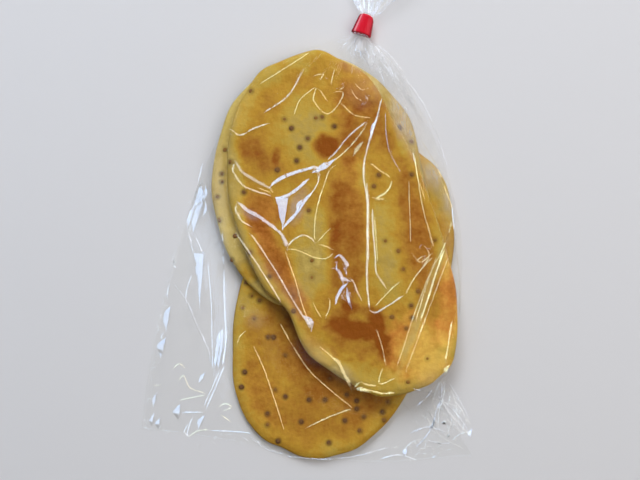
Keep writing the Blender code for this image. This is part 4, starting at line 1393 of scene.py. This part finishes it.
def build_film(material, thickness):
    """The bag's film: the draped top over a flat underside, closed inside the tape. Hands over its top."""
    x, y, top, under = film_top(thickness)
    points, faces = closed_skin(x, y, top, under, coarse_back)
    # whitish patches: haze where layers lie together, and painted light where they stand for bright
    # reflections and lift shadows
    haze = np.clip(patch_sum(x, y, HAZE_AND_PAINTED_LIGHT), 0.0, 1.0).ravel()
    streaks = soft_noise(x, SHEEN_STRETCH * y, SHEEN_SIZE, SHEEN_SEED).ravel()
    over_dough = stack_height(x, y, thickness, FILM_CLEARANCE, WARM_DROP).ravel()
    attributes = {
        "haze": np.concatenate([haze, BACK_WHITE_LAYER * haze]),
        "warm": np.tile(FILM_WARMTH * smooth(0.0, WARM_HEIGHT, over_dough), 2),
        "sheen": np.concatenate([
            FILM_SHEEN * (SHEEN_LEVEL + SHEEN_STREAKS * streaks), np.full(x.size, BACK_SHEEN)])}
    points, faces, attributes = without_loose(points, faces, attributes)
    piece = new_piece("film_body", points, faces, material, attributes)
    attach(piece, BODY)
    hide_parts("bag")
    return x, y, top


def stretched_noise(share, opened, steps):
    """Soft noise over the ruffle, with its steps across and along it and its seed."""
    across, along, seed = steps
    return soft_noise(across * share, along * opened, 1.0, seed)


def build_ruffle(material):
    """The gathered neck and the ruffle beyond it.

    Rows run outwards along the neck, columns from side to side. The half-width opens as a power of
    the distance, main and finer pleats are cosines across it that grow and waver outwards, and the
    two skins stand a little apart.
    """
    opened = np.linspace(0.0, 1.0, RUFFLE_ROWS + 1)[:, None] ** RUFFLE_ROW_POWER
    through = np.linspace(-NECK_TUCK, NECK_LENGTH, NECK_ROWS + 1)[:-1, None]
    distance = np.concatenate([through, NECK_LENGTH + RUFFLE_LENGTH * opened])
    opened = np.concatenate([np.zeros_like(through), opened])
    flattened = smooth(0.0, RUFFLE_FLAT_FROM, opened)
    share = crowded_shares(RUFFLE_COLUMNS, 1.0 - flattened)
    side = 2.0 * share - 1.0
    half_width, half_height = taper(distance)
    waver = RUFFLE_WAVER * stretched_noise(share, opened, RUFFLE_WAVERS) * opened
    outward = distance + RUFFLE_ARC * opened * (1.0 - side ** 2) + RUFFLE_WAVER_SHIFT * waver * opened
    spread = half_width + RUFFLE_SPREAD * opened ** RUFFLE_OPENING
    x, y = neck_place(outward, spread * side - RUFFLE_LEAN * flattened)
    depth = RUFFLE_PLEAT_DEPTH * smooth(0.0, RUFFLE_PLEATED, opened)
    phase = 2.0 * pi * PLEATS * share
    sharp = sum(
        height * np.cos(count * phase + turn + drift * opened)
        for height, count, turn, drift in RUFFLE_PLEATS)
    fine_phase = 2.0 * pi * FINE_PLEATS * share
    fine = FINE_PLEAT_HEIGHT * flattened * np.cos(fine_phase + FINE_PLEAT_WAVER * waver)
    pleated = depth * (RUFFLE_PLEAT_SHARE * sharp + RUFFLE_WAVER_SHARE * waver) + fine
    middle = NECK_CENTRE_HEIGHT + RUFFLE_RISE * opened + pleated
    loose = 1.0 + stretched_noise(share, opened, RUFFLE_LOOSENESS)
    gap = RUFFLE_GAP + RUFFLE_GAP_OPEN * opened * loose * (1.0 - side ** 4)
    half = (1.0 - flattened) * neck_section(share, half_height) + flattened * gap
    ridges = NECK_RIDGES * (1.0 - flattened) * np.cos(fine_phase) * np.sin(pi * share)
    under = np.maximum(middle - half, RUFFLE_LOWEST)
    points, faces = closed_skin(
        x, y, middle + half + ridges, under, lambda index: [grid_faces(index)[:, ::-1]])
    streaks = stretched_noise(share, opened, RUFFLE_STREAKS).ravel()
    warmths = stretched_noise(share, opened, RUFFLE_WARMTHS).ravel()
    bright = np.clip(RUFFLE_SHEEN_LEVEL + RUFFLE_SHEEN_STREAKS * streaks, RUFFLE_SHEEN_LEAST, None)
    at_neck = np.broadcast_to(1.0 - smooth(0.0, NECK_HAZE_END, opened), share.shape).ravel()
    haze = RUFFLE_HAZE + NECK_HAZE * at_neck + STREAK_HAZE * streaks
    attributes = {
        "haze": np.concatenate([haze, RUFFLE_BACK_HAZE * haze]),
        "sheen": np.tile(RUFFLE_SHEEN * bright, 2),
        "warm": np.tile(RUFFLE_WARMTH * smooth(*RUFFLE_WARM_FROM, warmths), 2)}
    piece = new_piece("film_ruffle", points, faces, material, attributes)
    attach(piece, BODY)
    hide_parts("bag")


# ---- tape ----
def tape_skin(around, row, offset):
    """Points of the tape at angles round the neck and shares along it, an offset outside the film.

    The section is a flattened round that narrows outwards with the neck. Both edges of the band bow
    towards the ruffle over the middle of the neck, the surface has faint flutes from the gathered
    film below, and one end of the tape steps over the other.
    """
    across, up = np.cos(around), np.sin(around)
    bow = TAPE_BOW * up.clip(0.0, 1.0) * (TAPE_BOW_LOW + (1.0 - TAPE_BOW_LOW) * row)
    distance = TAPE_START + TAPE_LENGTH * row + bow - TAPE_SHIFT
    half_width, half_height = taper(distance)
    flutes = TAPE_FLUTE_HEIGHT * np.cos(TAPE_FLUTES * around + TAPE_FLUTE_TURN)
    flutes = flutes * (TAPE_FLUTE_LOW + (1.0 - TAPE_FLUTE_LOW) * row)
    lift = offset + flutes + TAPE_STEP_HEIGHT * between(*TAPE_STEP, around)
    sideways = (half_width + lift) * np.sign(across) * np.abs(across) ** TAPE_SQUARENESS
    height = (half_height + lift) * np.sign(up) * np.abs(up) ** TAPE_SQUARENESS
    x, y = neck_place(distance, sideways)
    return np.stack([x, y, NECK_CENTRE_HEIGHT + height], axis=-1)


def build_tape(material):
    """The band of tape: an outer and an inner sleeve joined by rounded edges."""
    around = np.linspace(0.0, 2.0 * pi, TAPE_SIDES, endpoint=False)[None, :]
    row = np.linspace(0.0, 1.0, TAPE_ROWS + 1)[:, None]
    round_off = TAPE_ROUND_OFF * (1.0 - np.sin(pi * row).clip(0.0, TAPE_ROUND_SHARE) / TAPE_ROUND_SHARE)
    outside = tape_skin(around, row, TAPE_GAP + TAPE_THICKNESS - round_off)
    skins = np.concatenate([outside, tape_skin(around, row[::-1], TAPE_GAP)])
    index = np.arange(skins.shape[0] * TAPE_SIDES).reshape(-1, TAPE_SIDES)
    index = np.hstack([index, index[:, :1]])
    index = np.vstack([index, index[:1]])
    # a painted highlight line at one angle round the band
    painted_highlight = np.exp(-((around - TAPE_HIGHLIGHT_ANGLE) / TAPE_HIGHLIGHT_WIDTH) ** 2)
    # darker sides: over the left side where the tape lies doubled, with painted shade at the band's edge
    # there, and painted shade alone on the right side
    doubled_and_shaded = between(*TAPE_DOUBLED_AND_SHADED, around) + TAPE_SHADED * (1.0 - smooth(*TAPE_SHADED_END, around))
    attributes = {
        key: np.broadcast_to(values, (len(skins), TAPE_SIDES)).ravel()
        for key, values in (("painted_highlight", painted_highlight), ("doubled_and_shaded", doubled_and_shaded))}
    piece = new_piece("tape_band", skins.reshape(-1, 3), [grid_faces(index)], material, attributes)
    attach(piece, BODY)
    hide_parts("neck_tape")


# ---- stage ----
# compass angle from +X, angle from straight up, distance, width, height, brightness, colour, and
# whether it lights matt things ("fill") or shows in gloss alone ("shine")
Softbox = namedtuple("Softbox", "name azimuth tilt distance width height brightness colour use")
SOFTBOXES = (
    Softbox("ceiling panel", 0.0, 28.0, 1.7, 1.5, 1.5, 1.75, (1.0, 0.955, 0.91), "fill"),
    Softbox("key light", 98.0, 47.0, 1.7, 0.80, 0.80, 9.2, (0.975, 1.0, 1.035), "fill"),
    Softbox("window left", 184.0, 57.0, 1.15, 0.80, 1.17, 6.0, (0.55, 0.72, 1.0), "shine"),
    Softbox("shine upper left", 144.0, 51.0, 1.15, 0.52, 0.90, 6.6, (0.46, 0.66, 1.0), "shine"),
    Softbox("shine left of top", 110.0, 51.0, 1.15, 0.52, 0.90, 6.6, (0.46, 0.66, 1.0), "shine"),
    Softbox("shine right of top", 76.0, 51.0, 1.15, 0.52, 0.90, 4.6, (0.70, 0.80, 1.0), "shine"),
    Softbox("shine upper right", 42.0, 51.0, 1.15, 0.52, 0.90, 4.4, (0.76, 0.84, 1.0), "shine"),
    Softbox("shine right", 8.0, 51.0, 1.15, 0.52, 0.90, 4.6, (0.80, 0.84, 1.0), "shine"),
    Softbox("shine lower right", -28.0, 48.0, 1.15, 0.50, 0.70, 2.5, (0.95, 0.96, 1.0), "shine"),
    Softbox("shine below", -90.0, 48.0, 1.15, 0.60, 0.40, 1.5, (1.0, 0.98, 0.94), "shine"),
    Softbox("shine lower left", 216.0, 48.0, 1.15, 0.50, 0.70, 1.4, (0.70, 0.80, 1.0), "shine"),
)
CAMERA_HEIGHT = 608.0    # mm above the floor
CAMERA_MIDDLE = (320.0, 240.0)
OBJECT_MIDDLE_HEIGHT = 8.0
SENSOR_WIDTH = 36.0
CAMERA_REACH = 10.0      # metres
FLOOR_HALF = 2500.0
FLOOR_DROP = 0.1
ROOM_COLOUR = (0.97, 0.98, 1.0, 1.0)


def add_softbox(softbox, strength):
    """Rectangular area light that faces the object, with the power that gives its brightness."""
    data = bpy.data.lights.new(softbox.name, "AREA")
    data.shape = "RECTANGLE"
    data.size, data.size_y = softbox.height, softbox.width
    data.energy = strength * softbox.brightness * pi * softbox.width * softbox.height
    data.color = softbox.colour
    light = bpy.data.objects.new(softbox.name, data)
    light.visible_diffuse = softbox.use == "fill"
    light.visible_glossy = softbox.use == "shine"
    bpy.context.scene.collection.objects.link(light)
    turn, tilt = radians(softbox.azimuth), radians(softbox.tilt)
    light.location = (
        softbox.distance * sin(tilt) * cos(turn),
        softbox.distance * sin(tilt) * sin(turn),
        softbox.distance * cos(tilt))
    light.rotation_euler = (0.0, tilt, turn)


def add_camera():
    """Camera straight above the placing field's middle, its lens set to take in the field's width."""
    data = bpy.data.cameras.new("camera")
    data.sensor_width = SENSOR_WIDTH
    distance = CAMERA_HEIGHT - OBJECT_MIDDLE_HEIGHT
    data.lens = SENSOR_WIDTH * distance / (FIELD_WIDTH * FIELD_STEP)
    data.clip_end = CAMERA_REACH
    camera = bpy.data.objects.new("camera", data)
    bpy.context.scene.collection.objects.link(camera)
    x, y = spot(*CAMERA_MIDDLE)
    camera.location = (x * MM, y * MM, CAMERA_HEIGHT * MM)
    bpy.context.scene.camera = camera


def build_stage(settings):
    """Pale floor, soft light and camera."""
    corners = FLOOR_HALF * np.array([[-1.0, -1.0, 0.0], [1.0, -1.0, 0.0], [1.0, 1.0, 0.0], [-1.0, 1.0, 0.0]])
    corners[:, 2] = CAD_BOX[0][2] / MM - FLOOR_DROP
    floor = new_piece("floor", corners, [np.array([[0, 1, 2, 3]])], floor_material(settings))
    world = bpy.data.worlds.new("room")
    world.use_nodes = True
    background = world.node_tree.nodes["Background"]
    background.inputs["Color"].default_value = ROOM_COLOUR
    background.inputs["Strength"].default_value = settings.ambient
    bpy.context.scene.world = world
    bpy.context.scene.view_settings.view_transform = "Standard"
    for softbox in SOFTBOXES:
        add_softbox(softbox, settings.light)
    add_camera()


# ---- operators and panel ----
class DOUGH_OT_sheets(bpy.types.Operator):
    """Add the three fried dough sheets"""

    bl_idname = "dough.sheets"
    bl_label = "Add Dough Sheets"

    def execute(self, context):
        settings = context.scene.dough_sheet_settings
        material = dough_material(settings)
        for name in SHEETS:
            build_sheet(name, material, settings)
        return {"FINISHED"}


class DOUGH_OT_seeds(bpy.types.Operator):
    """Add the seeds that are set in the sheets"""

    bl_idname = "dough.seeds"
    bl_label = "Add Seeds"

    def execute(self, context):
        settings = context.scene.dough_sheet_settings
        build_seeds(seed_material(settings), settings)
        return {"FINISHED"}


class DOUGH_OT_film(bpy.types.Operator):
    """Add the clear film of the bag with its ruffle"""

    bl_idname = "dough.film"
    bl_label = "Add Film"

    def execute(self, context):
        settings = context.scene.dough_film_settings
        material = film_material(settings)
        film = build_film(material, context.scene.dough_sheet_settings.thickness / MM)
        build_folds(material, settings, film)
        build_ruffle(material)
        return {"FINISHED"}


class DOUGH_OT_tape(bpy.types.Operator):
    """Add the red tape round the neck"""

    bl_idname = "dough.tape"
    bl_label = "Add Tape"

    def execute(self, context):
        build_tape(tape_material(context.scene.dough_tape_settings))
        return {"FINISHED"}


class DOUGH_OT_stage(bpy.types.Operator):
    """Add the floor, the lights and the camera"""

    bl_idname = "dough.stage"
    bl_label = "Add Stage"

    def execute(self, context):
        build_stage(context.scene.dough_stage_settings)
        return {"FINISHED"}


class DOUGH_PT_panel(bpy.types.Panel):
    """The bag's settings and the buttons that build its pieces"""

    bl_idname = "DOUGH_PT_panel"
    bl_label = "Bag of Dough Sheets"
    bl_space_type = "VIEW_3D"
    bl_region_type = "UI"
    bl_category = "Dough Bag"

    def draw(self, context):
        layout = self.layout
        for name, group in SETTINGS.items():
            box = layout.box()
            for key in group.__annotations__:
                box.prop(getattr(context.scene, name), key)
        for operator in OPERATORS:
            layout.operator(operator.bl_idname)


OPERATORS = (DOUGH_OT_sheets, DOUGH_OT_seeds, DOUGH_OT_film, DOUGH_OT_tape, DOUGH_OT_stage)
CLASSES = (*SETTINGS.values(), *OPERATORS, DOUGH_PT_panel)


def register():
    """Register the classes and put the settings on the scene."""
    for cls in CLASSES:
        bpy.utils.register_class(cls)
    for name, group in SETTINGS.items():
        setattr(bpy.types.Scene, name, bpy.props.PointerProperty(type=group))


def unregister():
    """Take the settings off the scene and unregister the classes."""
    for name in SETTINGS:
        delattr(bpy.types.Scene, name)
    for cls in reversed(CLASSES):
        bpy.utils.unregister_class(cls)


def main():
    """Build the pieces and the stage in order."""
    register()
    bpy.ops.dough.sheets()
    bpy.ops.dough.seeds()
    bpy.ops.dough.film()
    bpy.ops.dough.tape()
    bpy.ops.dough.stage()


if __name__ == "__main__":
    main()
